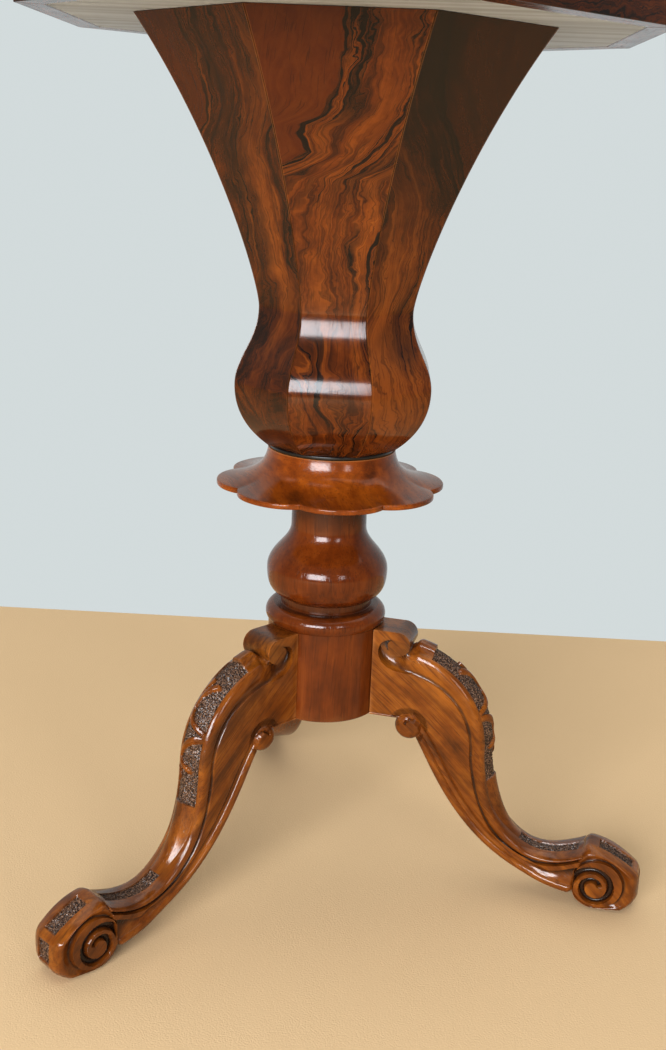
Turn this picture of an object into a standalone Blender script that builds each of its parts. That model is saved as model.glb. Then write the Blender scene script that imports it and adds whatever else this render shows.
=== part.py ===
"""Trumpet work table: an octagonal box on a flared, veneered well, a turned column and carved legs.

Metres, +Z up, the floor at z = 0. The box opens at the back edge (+Y) and its front facet faces -Y.
"""
import math
from collections import namedtuple

import bmesh
import bpy
from mathutils import Matrix, Vector

# The run of a curve between two points: the angle in degrees along which it leaves and arrives, how
# strongly it keeps to each as a share of the distance, and the number of straight steps.
Bend = namedtuple("Bend", "leave leave_pull arrive arrive_pull steps")

# Fits
JOINT_GAP = 0.0003            # between pieces that touch
FACETS = 8                    # sides of the box and of the trumpet
HALF_FACET = math.pi / FACETS

# Turned column, from the floor up
COLUMN_CLEARANCE = 0.135      # floor to the underside of the block
BLOCK_RADIUS = 0.0445
BLOCK_HEIGHT = 0.0685
RING_OVERHANG = 0.0023        # the ring stands this far outside the block
RING_HEIGHT = 0.0158
RING_STEPS = 7
FILLET_STEP = 0.0035          # from the crown of the ring in to the fillet
FILLET_HEIGHT = 0.0063
BELLY_RADIUS = 0.0467
BELLY_RISE = 0.0215           # fillet to the widest point of the belly
WAIST_RADIUS = 0.0288
WAIST_RISE = 0.0565           # fillet to the narrowest point above the belly
BALUSTER_HEIGHT = 0.0869      # fillet to the underside of the collar
NECK_RADIUS = 0.0305          # under the collar
FILLET_TO_BELLY = Bend(25, 0.37, 90, 0.53, 6)
BELLY_TO_WAIST = Bend(90, 0.38, 90, 0.36, 8)
WAIST_TO_NECK = Bend(90, 0.39, 75, 0.33, 3)
TENON_RADIUS = 0.0145
TENON_GRIP = 0.026            # length of the tenon inside the trumpet's block
TURNING_STEPS = 36

# Scalloped collar and the black ring above it
COLLAR_HEIGHT = 0.0297
COLLAR_TOP_RADIUS = 0.048
COLLAR_RADIUS = 0.0863        # tip of a lobe
COLLAR_RIM = 0.0042           # thickness at the rim
COLLAR_FLARE = Bend(-84, 0.28, -6, 0.65, 8)
LOBES = 8
LOBE_DEPTH = 0.0085           # tip of a lobe to the notch beside it
LOBE_STEPS = 8
LOBE_FULLNESS = 2.4           # higher is a fuller lobe with a sharper notch
LOBE_TURN = math.radians(9.0)
BLACK_RING_HEIGHT = 0.0023
BLACK_RING_INSET = 0.0006     # in from the collar's top edge

# Trumpet, sizes across the flats are twice these
TRUMPET_FOOT = 0.0465
TRUMPET_BULB = 0.0712
TRUMPET_NECK = 0.0553
TRUMPET_TOP = 0.1378
BULB_RISE = 0.0464            # foot to the widest part of the bulb
NECK_RISE = 0.1019            # foot to the neck
TRUMPET_HEIGHT = 0.2924
FOOT_TO_BULB = Bend(38, 0.27, 90, 0.44, 7)
BULB_TO_NECK = Bend(90, 0.35, 90, 0.42, 8)
NECK_TO_RIM = Bend(90, 0.077, 56, 0.46, 10)
TRUMPET_WALL = 0.011
WELL_FLOOR_RISE = 0.014       # neck to the underside of the well's floor
WELL_FLOOR_BOARD = 0.008

# Box and its fittings
BOX_FLAT = 0.208              # centre to the face of a side
BOX_DEPTH = 0.075
BOX_BOARD = 0.018
BOTTOM_BOARD = 0.012
PLANK_JOINT = 0.094           # centre to the joints between the bottom planks
FITTING_BOARD = 0.005
FITTING_DROP = 0.004          # top of the fittings below the top of the box

# Lid
LID_OVERHANG = 0.008
LID_BOARD = 0.021
LID_LIP = 0.009               # straight lower part of the moulded edge
LID_STEP = 0.0025
LID_ROUND = 0.0105
LID_ROUND_STEPS = 4
LINING_BOARD = 0.0016
LINING_MARGIN = 0.006

# Butt hinges on the back edge
HINGE_LENGTH = 0.044
HINGE_SPACING = 0.096         # centre to centre
LEAF_THICKNESS = 0.0015
LEAF_DEPTH = 0.0125           # from the back of the box inwards
KNUCKLE_RADIUS = 0.0032
KNUCKLE_OUT = 0.0037          # axis behind the face of the box
PIN_RADIUS = 0.0014
PIN_CLEARANCE = 0.00012       # running fit of the pin in the knuckles
KNUCKLE_STEPS = 16

# Legs, measured outwards from the face of the block and up from the floor
LEG_COUNT = 3
LEG_TURN = math.radians(227.15)
LEG_HALF = 0.0148             # half the thickness of a leg
LEG_EDGE_ROUND = 0.0045       # rounding of the lower edges
LEG_ROUND_SHARE = 0.3         # place of the middle of that rounding between its two ends
EDGE_SHAPE = ((0.45, 0.80), (0.12, 0.35))  # moulded edge: shares of its depth and of its swell
PANEL_HALF = 0.0105           # half the width of the carved top panel
QUIRK = 0.0016                # step between the flat side and the moulded edge
HEAD_RISE = 0.0022            # top of a leg above the top of the block
ROLL_OUT = 0.0200
ROLL_RADIUS = 0.0092
STRAP = 0.0070                # thickness of the band that runs over into the roll
THROAT_GAP = 0.0034           # hollow between the roll and the flat side
THROAT_HALF = 0.0065          # half the thickness left under the roll
THROAT_EDGE = 0.0300          # depth of the moulded edge under the roll
THROAT_ROUND = 0.0095         # rounding where the hollow turns into the moulded edge
THROAT_STEPS = 3
SHOULDER_OUT = 0.029
SHOULDER_DROP = 0.010         # shoulder below the top of the block
SHOULDER_EDGE = 0.0195
KNEE_OUT = 0.0933
KNEE_HEIGHT = 0.118
KNEE_EDGE = 0.0140
ANKLE_OUT = 0.1425
ANKLE_HEIGHT = 0.0368
ANKLE_EDGE = 0.0070
HUMP_OUT = 0.177
HUMP_HEIGHT = 0.0507
HUMP_EDGE = 0.0090
KNEE_SCROLL_OUT = 0.0295
KNEE_SCROLL_DROP = 0.0055     # centre below the underside of the block
KNEE_SCROLL_RADIUS = 0.0110
KNEE_SCROLL_PROUD = 0.0012    # stands this far out of the flat sides
SCROLL_STEPS = 20
LEG_STEPS = 7                 # stations between shoulder, knee, ankle and foot
SHOULDER_TO_KNEE = Bend(-10, 0.32, -88, 0.47, LEG_STEPS)
KNEE_TO_ANKLE = Bend(-87, 0.36, 0, 0.37, LEG_STEPS)
ANKLE_TO_INSTEP = Bend(0, 0.50, 30, 0.19, LEG_STEPS)
UNDERSIDE_RUN = Bend(-55, 0.18, -8.5, 0.51, 20 * LEG_STEPS)
UNDERSIDE_SHARES = (0.0, 0.28, 0.87, 1.0)  # of that run, below shoulder, knee, ankle and foot
HEEL_REACH = 0.9              # end of the underside, as shares of the foot's radius and height
HEEL_RISE = 0.4
TONGUE_LENGTH = 0.017
TONGUE_ROOT = 0.012
TONGUE_TIP = 0.018
TONGUE_STOP = 0.006           # top of the tongue below the top of the block

# Volute foot
FOOT_SCROLL_OUT = 0.182
FOOT_SCROLL_HEIGHT = 0.0195
FOOT_SCROLL_RADIUS = 0.0225
FOOT_HALF = 0.018
FOOT_PANEL_HALF = 0.0115
TOE_OUT = 0.2160
TOE_HEIGHT = 0.0156
TOE_CREST_BACK = 0.0025       # crest behind the toe
TOE_CREST_HEIGHT = 0.0335
SOLE_INNER_OUT = 0.182
SOLE_OUTER_OUT = 0.2050
BACK_REACH = 0.72             # back of the foot, as shares of its radius and height
BACK_RISE = 0.62
WAIST_TO_HUMP = Bend(45, 0.34, 0, 0.34, 4)
HUMP_TO_CREST = Bend(-8, 0.30, -38, 0.25, 6)
CREST_TO_TOE = Bend(-50, 0.28, -90, 0.44, 4)
TOE_TO_SOLE = Bend(-92, 0.36, -150, 0.25, 4)
SOLE_TO_BACK = Bend(180, 0.38, 100, 0.38, 4)
CHANNEL_WIDTH = 0.0046
CHANNEL_DEPTH = 0.0032
CHANNEL_START = 0.0185        # radius where the spiral channel begins
CHANNEL_END = 0.0055
CHANNEL_TURNS = 1.45
CHANNEL_STEPS = 30
CHANNEL_ANGLE = math.radians(125)  # where it begins
CHANNEL_TIGHTENING = 0.85     # below one, the spiral draws in faster at first
CHANNEL_TAPER = 0.35          # share of its width that it loses

# Levels and places that follow from the sizes above
BLOCK_TOP = COLUMN_CLEARANCE + BLOCK_HEIGHT
RING_TOP = BLOCK_TOP + RING_HEIGHT
FILLET_TOP = RING_TOP + FILLET_HEIGHT
COLLAR_SEAT = FILLET_TOP + BALUSTER_HEIGHT
COLLAR_FOOT = COLLAR_SEAT + JOINT_GAP
COLLAR_TOP = COLLAR_FOOT + COLLAR_HEIGHT
BLACK_RING_FOOT = COLLAR_TOP + JOINT_GAP
FOOT_LEVEL = BLACK_RING_FOOT + BLACK_RING_HEIGHT + JOINT_GAP
NECK_LEVEL = FOOT_LEVEL + NECK_RISE
TRUMPET_RIM = FOOT_LEVEL + TRUMPET_HEIGHT
UNDERSIDE = TRUMPET_RIM + JOINT_GAP
FITTING_FOOT = UNDERSIDE + BOTTOM_BOARD + JOINT_GAP
BOX_TOP = UNDERSIDE + BOX_DEPTH
FITTING_TOP = BOX_TOP - FITTING_DROP
LID_FOOT = BOX_TOP + JOINT_GAP
LID_TOP = LID_FOOT + LID_BOARD
LID_FLAT = BOX_FLAT + LID_OVERHANG
INNER_FLAT = BOX_FLAT - BOX_BOARD
WELL_FLAT = TRUMPET_TOP - TRUMPET_WALL
HEAD_TOP = BLOCK_TOP + HEAD_RISE
HINGE_AXIS_Y = BOX_FLAT + KNUCKLE_OUT
HINGE_AXIS_Z = BOX_TOP + JOINT_GAP / 2
FRONT = -math.pi / 2
SMOOTH_ANGLE = math.radians(38)  # edges sharper than this stay crisp

# Colours of the materials: red, green, blue, then roughness and metallic
FINISHES = {
    "polished_walnut": ((0.24, 0.085, 0.030), 0.22, 0.0),
    "burr_walnut_veneer": ((0.20, 0.078, 0.028), 0.18, 0.0),
    "ebonised_wood": ((0.012, 0.010, 0.009), 0.25, 0.0),
    "bare_softwood": ((0.36, 0.31, 0.25), 0.80, 0.0),
    "lining_paper": ((0.42, 0.36, 0.34), 0.90, 0.0),
    "brass": ((0.65, 0.45, 0.18), 0.30, 1.0),
}


def clear_scene():
    """Remove every object that the scene holds."""
    for old in list(bpy.data.objects):
        bpy.data.objects.remove(old, do_unlink=True)


def finish(name):
    """Return the named material, made on first use."""
    material = bpy.data.materials.get(name)
    if material is None:
        colour, roughness, metallic = FINISHES[name]
        material = bpy.data.materials.new(name)
        material.use_nodes = True
        shader = material.node_tree.nodes["Principled BSDF"]
        shader.inputs["Base Color"].default_value = (*colour, 1.0)
        shader.inputs["Roughness"].default_value = roughness
        shader.inputs["Metallic"].default_value = metallic
        material.diffuse_color = (*colour, 1.0)
    return material


def place(name, mesh, material, parent, turn=0.0):
    """Add one named piece that uses the mesh, turned about the upright axis of its parent."""
    if not mesh.materials:
        mesh.materials.append(finish(material))
    piece = bpy.data.objects.new(name, mesh)
    bpy.context.scene.collection.objects.link(piece)
    piece.parent = parent
    piece.rotation_euler.z = turn
    return piece


def mesh_from(bm, name):
    """Turn a bmesh into a mesh with outward faces."""
    bmesh.ops.recalc_face_normals(bm, faces=bm.faces)
    mesh = bpy.data.meshes.new(name)
    bm.to_mesh(mesh)
    bm.free()
    return mesh


def smoothed(mesh):
    """Shade a mesh smooth, except over its sharp edges."""
    mesh.shade_smooth()
    mesh.set_sharp_from_angle(angle=SMOOTH_ANGLE)
    return mesh


def loft(rings):
    """Skin a row of equal point rings and close both ends with a face."""
    bm = bmesh.new()
    loops = [[bm.verts.new(point) for point in ring] for ring in rings]
    count = len(loops[0])
    for lower, upper in zip(loops, loops[1:]):
        for i in range(count):
            j = (i + 1) % count
            bm.faces.new((lower[i], lower[j], upper[j], upper[i]))
    bm.faces.new(reversed(loops[0]))
    bm.faces.new(loops[-1])
    return bm


def prism(outline, low, high):
    """Extrude a flat outline of (x, y) points from one height to another."""
    return loft([[Vector((x, y, z)) for x, y in outline] for z in (low, high)])


def octagon(flat, turn=0.0):
    """Corners of a regular octagon, given its centre to face distance."""
    radius = flat / math.cos(HALF_FACET)
    angles = [turn + HALF_FACET + 2 * HALF_FACET * k for k in range(FACETS)]
    return [(radius * math.cos(a), radius * math.sin(a)) for a in angles]


def circle(radius, steps, turn=0.0):
    """Points of a regular polygon that stands for a circle."""
    angles = [turn + 2 * math.pi * k / steps for k in range(steps)]
    return [(radius * math.cos(a), radius * math.sin(a)) for a in angles]


def heading(degrees):
    """The flat direction at an angle."""
    return Vector((math.cos(math.radians(degrees)), math.sin(math.radians(degrees))))


def curve(start, end, bend):
    """Points of a cubic curve between two points; the first is left out, so curves can be chained."""
    a = Vector(start)
    d = Vector(end)
    distance = (d - a).length
    b = a + heading(bend.leave) * bend.leave_pull * distance
    c = d - heading(bend.arrive) * bend.arrive_pull * distance
    points = []
    for k in range(1, bend.steps + 1):
        t = k / bend.steps
        s = 1 - t
        point = a * s ** 3 + b * (3 * s * s * t) + c * (3 * s * t * t) + d * t ** 3
        points.append((point.x, point.y))
    return points


def arc(centre, radius, start_angle, end_angle, steps):
    """Points of an arc between two angles in degrees, both ends included."""
    points = []
    for k in range(steps + 1):
        a = math.radians(start_angle + (end_angle - start_angle) * k / steps)
        points.append((centre[0] + radius * math.cos(a), centre[1] + radius * math.sin(a)))
    return points


def turned(profile, steps, turn=0.0):
    """Spin a profile of (radius, height) points about the upright axis and cap its two ends."""
    bm = bmesh.new()
    verts = [bm.verts.new((radius, 0.0, height)) for radius, height in profile]
    edges = [bm.edges.new(pair) for pair in zip(verts, verts[1:])]
    bmesh.ops.spin(bm, geom=verts + edges, cent=(0, 0, 0), axis=(0, 0, 1), dvec=(0, 0, 0),
                   angle=2 * math.pi, steps=steps, use_merge=True)
    bmesh.ops.remove_doubles(bm, verts=bm.verts, dist=1e-7)
    bmesh.ops.holes_fill(bm, edges=[e for e in bm.edges if e.is_boundary])
    bmesh.ops.rotate(bm, verts=bm.verts, cent=(0, 0, 0), matrix=Matrix.Rotation(turn, 3, "Z"))
    return bm


def combine(base, others, operation):
    """Return a mesh of the base mesh after a Boolean with each of the other meshes in turn."""
    piece = bpy.data.objects.new("work", base)
    bpy.context.scene.collection.objects.link(piece)
    tools = []
    for mesh in others:
        tool = bpy.data.objects.new("work_tool", mesh)
        tool.hide_render = True
        tool.display_type = "WIRE"
        bpy.context.scene.collection.objects.link(tool)
        tools.append(tool)
        modifier = piece.modifiers.new("combine", "BOOLEAN")
        modifier.operation = operation
        modifier.solver = "EXACT"
        modifier.object = tool
    graph = bpy.context.evaluated_depsgraph_get()
    result = bpy.data.meshes.new_from_object(piece.evaluated_get(graph))
    for work in [piece] + tools:
        bpy.data.objects.remove(work, do_unlink=True)
    return result


def box_mesh(low, high):
    """A rectangular block between two corners."""
    outline = [(low[0], low[1]), (high[0], low[1]), (high[0], high[1]), (low[0], high[1])]
    return mesh_from(prism(outline, low[2], high[2]), "block")


# Trumpet

def trumpet_profile():
    """Centre to face distance and height of the trumpet, from its foot to its rim."""
    foot = (TRUMPET_FOOT, FOOT_LEVEL)
    bulb = (TRUMPET_BULB, FOOT_LEVEL + BULB_RISE)
    neck = (TRUMPET_NECK, NECK_LEVEL)
    rim = (TRUMPET_TOP, TRUMPET_RIM)
    points = [foot]
    points += curve(foot, bulb, FOOT_TO_BULB)
    points += curve(bulb, neck, BULB_TO_NECK)
    points += curve(neck, rim, NECK_TO_RIM)
    return points


def stave_ring(flat, height):
    """Four corners of a stave at one height, its face towards +X."""
    clearance = JOINT_GAP / 2 / math.cos(HALF_FACET)
    inner = flat - TRUMPET_WALL
    outer_half = flat * math.tan(HALF_FACET) - clearance
    inner_half = inner * math.tan(HALF_FACET) - clearance
    corners = [(flat, -outer_half), (flat, outer_half), (inner, inner_half), (inner, -inner_half)]
    return [Vector((x, y, height)) for x, y in corners]


def inner_flat_at(height):
    """Centre to face distance of the hollow inside the staves at a height."""
    profile = trumpet_profile()
    for (low_flat, low), (high_flat, high) in zip(profile, profile[1:]):
        if low <= height <= high:
            share = (height - low) / (high - low)
            return low_flat + (high_flat - low_flat) * share - TRUMPET_WALL
    return profile[-1][0] - TRUMPET_WALL


def octagon_ring(flat, height):
    """An octagon as a ring of points at a height."""
    return [Vector((x, y, height)) for x, y in octagon(flat)]


def build_trumpet(table):
    """The eight staves, the block inside the bulb and the floor of the well."""
    rings = [stave_ring(*point) for point in trumpet_profile()]
    stave = smoothed(mesh_from(loft(rings), "trumpet_stave"))
    for k in range(FACETS):
        place(f"trumpet_stave_{k + 1}", stave, "burr_walnut_veneer", table, FRONT + 2 * HALF_FACET * k)

    bulb_level = FOOT_LEVEL + BULB_RISE
    inset = TRUMPET_WALL + JOINT_GAP
    rings = [octagon_ring(flat - inset, z) for flat, z in trumpet_profile() if z <= bulb_level]
    block = mesh_from(loft(rings), "trumpet_block")
    bore = prism(circle(TENON_RADIUS + JOINT_GAP, TURNING_STEPS, LEG_TURN),
                 FOOT_LEVEL - TENON_GRIP, FOOT_LEVEL + TENON_GRIP + JOINT_GAP)
    block = combine(block, [mesh_from(bore, "bore")], "DIFFERENCE")
    place("trumpet_block", block, "bare_softwood", table)

    low = NECK_LEVEL + WELL_FLOOR_RISE
    levels = [low, low + WELL_FLOOR_BOARD / 2, low + WELL_FLOOR_BOARD]
    rings = [octagon_ring(inner_flat_at(z) - JOINT_GAP, z) for z in levels]
    place("well_floor", mesh_from(loft(rings), "well_floor"), "bare_softwood", table)


# Column and collar

def column_profile():
    """Radius and height of the column, from the foot of its block to the tip of its tenon."""
    half_ring = RING_HEIGHT / 2
    crown = BLOCK_RADIUS + RING_OVERHANG - half_ring
    start = -math.degrees(math.acos(1 - RING_OVERHANG / half_ring))
    fillet = crown - FILLET_STEP
    points = [(BLOCK_RADIUS, COLUMN_CLEARANCE)]
    points += arc((crown, BLOCK_TOP + half_ring), half_ring, start, 90, RING_STEPS)
    points += [(fillet, RING_TOP), (fillet, FILLET_TOP)]
    belly = (BELLY_RADIUS, FILLET_TOP + BELLY_RISE)
    waist = (WAIST_RADIUS, FILLET_TOP + WAIST_RISE)
    points += curve((fillet, FILLET_TOP), belly, FILLET_TO_BELLY)
    points += curve(belly, waist, BELLY_TO_WAIST)
    points += curve(waist, (NECK_RADIUS, COLLAR_SEAT), WAIST_TO_NECK)
    tip = FOOT_LEVEL + TENON_GRIP
    points += [(TENON_RADIUS, COLLAR_SEAT), (TENON_RADIUS, tip)]
    return points


def tongue_outline(clearance):
    """Plan of a dovetail tongue along +X, grown by a clearance on its sides and tip."""
    tip = BLOCK_RADIUS - TONGUE_LENGTH - clearance
    root = BLOCK_RADIUS + LEG_HALF / 2
    slope = (TONGUE_TIP - TONGUE_ROOT) / 2 / TONGUE_LENGTH
    root_half = TONGUE_ROOT / 2 - slope * (root - BLOCK_RADIUS) + clearance
    tip_half = TONGUE_TIP / 2 + slope * clearance + clearance
    return [(tip, -tip_half), (root, -root_half), (root, root_half), (tip, tip_half)]


def leg_angles():
    """Directions of the legs about the column."""
    return [LEG_TURN + 2 * math.pi * k / LEG_COUNT for k in range(LEG_COUNT)]


def build_column(table):
    """The turned column with a dovetail housing for each leg, the collar and the black ring."""
    column = mesh_from(turned(column_profile(), TURNING_STEPS), "turned_column")
    housings = []
    for k in range(LEG_COUNT):
        housing = mesh_from(prism(tongue_outline(JOINT_GAP), COLUMN_CLEARANCE - BLOCK_RADIUS,
                                  BLOCK_TOP - TONGUE_STOP + JOINT_GAP), "housing")
        housing.transform(Matrix.Rotation(2 * math.pi * k / LEG_COUNT, 4, "Z"))
        housings.append(housing)
    column = smoothed(combine(column, housings, "DIFFERENCE"))
    place("turned_column", column, "polished_walnut", table, LEG_TURN)

    scalloped = smoothed(mesh_from(collar(), "scalloped_collar"))
    place("scalloped_collar", scalloped, "polished_walnut", table, FRONT + LOBE_TURN)

    bore = TENON_RADIUS + JOINT_GAP
    radius = COLLAR_TOP_RADIUS - BLACK_RING_INSET
    top = BLACK_RING_FOOT + BLACK_RING_HEIGHT
    ring = ring_solid([(bore, BLACK_RING_FOOT), (radius, BLACK_RING_FOOT), (radius, top), (bore, top)])
    place("black_ring", smoothed(mesh_from(ring, "black_ring")), "ebonised_wood", table, LEG_TURN)


def ring_solid(section):
    """Spin a closed section of (radius, height) points about the upright axis."""
    bm = bmesh.new()
    verts = [bm.verts.new((radius, 0.0, height)) for radius, height in section]
    edges = [bm.edges.new((verts[k - 1], verts[k])) for k in range(len(verts))]
    bmesh.ops.spin(bm, geom=verts + edges, cent=(0, 0, 0), axis=(0, 0, 1), dvec=(0, 0, 0),
                   angle=2 * math.pi, steps=TURNING_STEPS, use_merge=True)
    bmesh.ops.remove_doubles(bm, verts=bm.verts, dist=1e-7)
    return bm


def lobe_reach(angle):
    """How far a scalloped edge draws in at an angle: nothing at the tip of a lobe, all at a notch."""
    pitch = 2 * math.pi / LOBES
    across = ((angle + pitch / 2) % pitch) / pitch * 2 - 1
    return abs(across) ** LOBE_FULLNESS


def collar():
    """The collar: a hollow flare from the black ring out to a thin scalloped rim."""
    bore = TENON_RADIUS + JOINT_GAP
    rim_top = COLLAR_FOOT + COLLAR_RIM
    section = [(COLLAR_TOP_RADIUS, COLLAR_TOP)]
    section += curve((COLLAR_TOP_RADIUS, COLLAR_TOP), (COLLAR_RADIUS, rim_top), COLLAR_FLARE)
    section += [(COLLAR_RADIUS, COLLAR_FOOT), (bore, COLLAR_FOOT), (bore, COLLAR_TOP)]
    bm = bmesh.new()
    count = LOBES * LOBE_STEPS
    loops = []
    for k in range(count):
        angle = 2 * math.pi * k / count
        loop = []
        for radius, height in section:
            share = max(0.0, (radius - COLLAR_TOP_RADIUS) / (COLLAR_RADIUS - COLLAR_TOP_RADIUS))
            reach = radius - LOBE_DEPTH * lobe_reach(angle) * share ** 2
            loop.append(bm.verts.new((reach * math.cos(angle), reach * math.sin(angle), height)))
        loops.append(loop)
    for k in range(count):
        this, after = loops[k - 1], loops[k]
        for i in range(len(section)):
            bm.faces.new((this[i - 1], this[i], after[i], after[i - 1]))
    return bm


# Legs

def leg_section(top, foot, edge, panel_half):
    """A closed ring of points across a leg, square to its run.

    The flat sides rise from the rounded lower edges to the quirk, and the moulded edge swells from
    there to the carved panel along the top.
    """
    up = Vector((top[0] - foot[0], top[1] - foot[1]))
    depth = up.length
    up.normalize()
    rounding = LEG_EDGE_ROUND
    swell = LEG_HALF - QUIRK - panel_half
    middle = rounding * LEG_ROUND_SHARE
    half = [
        (0.0, LEG_HALF - rounding),
        (middle, LEG_HALF - middle),
        (rounding, LEG_HALF),
        (depth - edge, LEG_HALF),
        (depth - edge + QUIRK / 2, LEG_HALF - QUIRK),
    ]
    half += [(depth - edge * drop, panel_half + swell * share) for drop, share in EDGE_SHAPE]
    half.append((depth, panel_half))
    ring = []
    for rise, across in half:
        ring.append(Vector((foot[0] + up.x * rise, across, foot[1] + up.y * rise)))
    for rise, across in reversed(half):
        ring.append(Vector((foot[0] + up.x * rise, -across, foot[1] + up.y * rise)))
    return ring


def between(keys, span, part):
    """Read a value part of the way along one span of a row of keys."""
    return keys[span] * (1 - part) + keys[span + 1] * part


def leg_body():
    """The leg from inside the block to inside its foot, as one loft."""
    face = BLOCK_RADIUS
    shoulder = (face + SHOULDER_OUT, BLOCK_TOP - SHOULDER_DROP)
    knee = (face + KNEE_OUT, KNEE_HEIGHT)
    ankle = (face + ANKLE_OUT, ANKLE_HEIGHT)
    instep = (face + HUMP_OUT - LEG_EDGE_ROUND, HUMP_HEIGHT - 2 * QUIRK)
    top = [shoulder]
    top += curve(shoulder, knee, SHOULDER_TO_KNEE)
    top += curve(knee, ankle, KNEE_TO_ANKLE)
    top += curve(ankle, instep, ANKLE_TO_INSTEP)
    scroll = (face + KNEE_SCROLL_OUT, COLUMN_CLEARANCE - KNEE_SCROLL_DROP)
    heel = (face + FOOT_SCROLL_OUT - FOOT_SCROLL_RADIUS * HEEL_REACH, FOOT_SCROLL_HEIGHT * HEEL_RISE)
    under = [scroll] + curve(scroll, heel, UNDERSIDE_RUN)
    edges = [SHOULDER_EDGE, KNEE_EDGE, ANKLE_EDGE, HUMP_EDGE]

    inside = face - LEG_HALF / 2
    throat = face + ROLL_OUT - ROLL_RADIUS - THROAT_GAP
    lip = throat - QUIRK / 2
    flat_panel = LEG_HALF - 2 * QUIRK
    rings = []
    for out in (inside, lip):
        rings.append(leg_section((out, HEAD_TOP), (out, COLUMN_CLEARANCE), QUIRK, flat_panel))
    for k in range(THROAT_STEPS + 1):
        turn = math.pi / 2 * k / THROAT_STEPS
        out = throat + THROAT_ROUND * (1 - math.cos(turn))
        edge = THROAT_EDGE - THROAT_ROUND * (1 - math.sin(turn))
        rings.append(leg_section((out, HEAD_TOP - QUIRK), (out, COLUMN_CLEARANCE), edge, THROAT_HALF))
    for station, point in enumerate(top):
        span = min(station // LEG_STEPS, 2)
        part = station / LEG_STEPS - span
        foot = under[round(between(UNDERSIDE_SHARES, span, part) * UNDERSIDE_RUN.steps)]
        panel = PANEL_HALF if station else THROAT_HALF
        rings.append(leg_section(point, foot, between(edges, span, part), panel))
    return loft(rings)


def foot_outline():
    """Side view of the volute foot, as a closed ring of (outwards, height) points."""
    face = BLOCK_RADIUS
    hump = (face + HUMP_OUT, HUMP_HEIGHT)
    crest = (face + TOE_OUT - TOE_CREST_BACK, TOE_CREST_HEIGHT)
    toe = (face + TOE_OUT, TOE_HEIGHT)
    sole_out = (face + SOLE_OUTER_OUT, 0.0)
    sole_in = (face + SOLE_INNER_OUT, 0.0)
    back_out = face + FOOT_SCROLL_OUT - FOOT_SCROLL_RADIUS * BACK_REACH
    back = (back_out, FOOT_SCROLL_HEIGHT * BACK_RISE)
    waist = (back_out, ANKLE_HEIGHT)
    points = [waist]
    points += curve(waist, hump, WAIST_TO_HUMP)
    points += curve(hump, crest, HUMP_TO_CREST)
    points += curve(crest, toe, CREST_TO_TOE)
    points += curve(toe, sole_out, TOE_TO_SOLE)
    points.append(sole_in)
    points += curve(sole_in, back, SOLE_TO_BACK)
    return points


def foot_body():
    """The foot: a scroll that stands proud on both sides, in a moulded toe."""
    centre = Vector((BLOCK_RADIUS + FOOT_SCROLL_OUT, FOOT_SCROLL_HEIGHT))
    swell = FOOT_HALF - QUIRK - FOOT_PANEL_HALF
    layers = [(1.0, FOOT_HALF), (1.0 - QUIRK / FOOT_SCROLL_RADIUS / 2, FOOT_HALF - QUIRK)]
    layers += [(drop, FOOT_PANEL_HALF + swell * share) for drop, share in EDGE_SHAPE]
    layers.append((0.0, FOOT_PANEL_HALF))
    rings = []
    for inward, across in layers + [(inward, -across) for inward, across in reversed(layers)]:
        ring = []
        for point in foot_outline():
            outer = Vector(point) - centre
            rim = min(FOOT_SCROLL_RADIUS, outer.length - QUIRK)
            length = outer.length * (1 - inward) + rim * inward
            spot = centre + outer.normalized() * length
            ring.append(Vector((spot.x, across, spot.y)))
        rings.append(ring)
    return loft(rings)


def spiral_channel(side):
    """A cutter that sinks the spiral channel into one side of the foot."""
    centre = (BLOCK_RADIUS + FOOT_SCROLL_OUT, FOOT_SCROLL_HEIGHT)
    rings = []
    for k in range(CHANNEL_STEPS + 1):
        share = k / CHANNEL_STEPS
        angle = CHANNEL_ANGLE - 2 * math.pi * CHANNEL_TURNS * share
        middle = CHANNEL_START + (CHANNEL_END - CHANNEL_START) * share ** CHANNEL_TIGHTENING
        half = CHANNEL_WIDTH / 2 * (1 - CHANNEL_TAPER * share)
        low = side * (FOOT_HALF - CHANNEL_DEPTH)
        high = side * (FOOT_HALF + CHANNEL_DEPTH)
        inner, outer = middle - half, middle + half
        ring = []
        for reach, across in ((inner, low), (outer, low), (outer, high), (inner, high)):
            out = centre[0] + reach * math.cos(angle)
            ring.append(Vector((out, across, centre[1] + reach * math.sin(angle))))
        rings.append(ring)
    return loft(rings)


def cross_roll(out, height, radius, half):
    """A roll across the leg at a point of its side view."""
    outline = circle(radius, SCROLL_STEPS)
    return loft([[Vector((out + x, y, height + z)) for x, z in outline] for y in (-half, half)])


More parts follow.
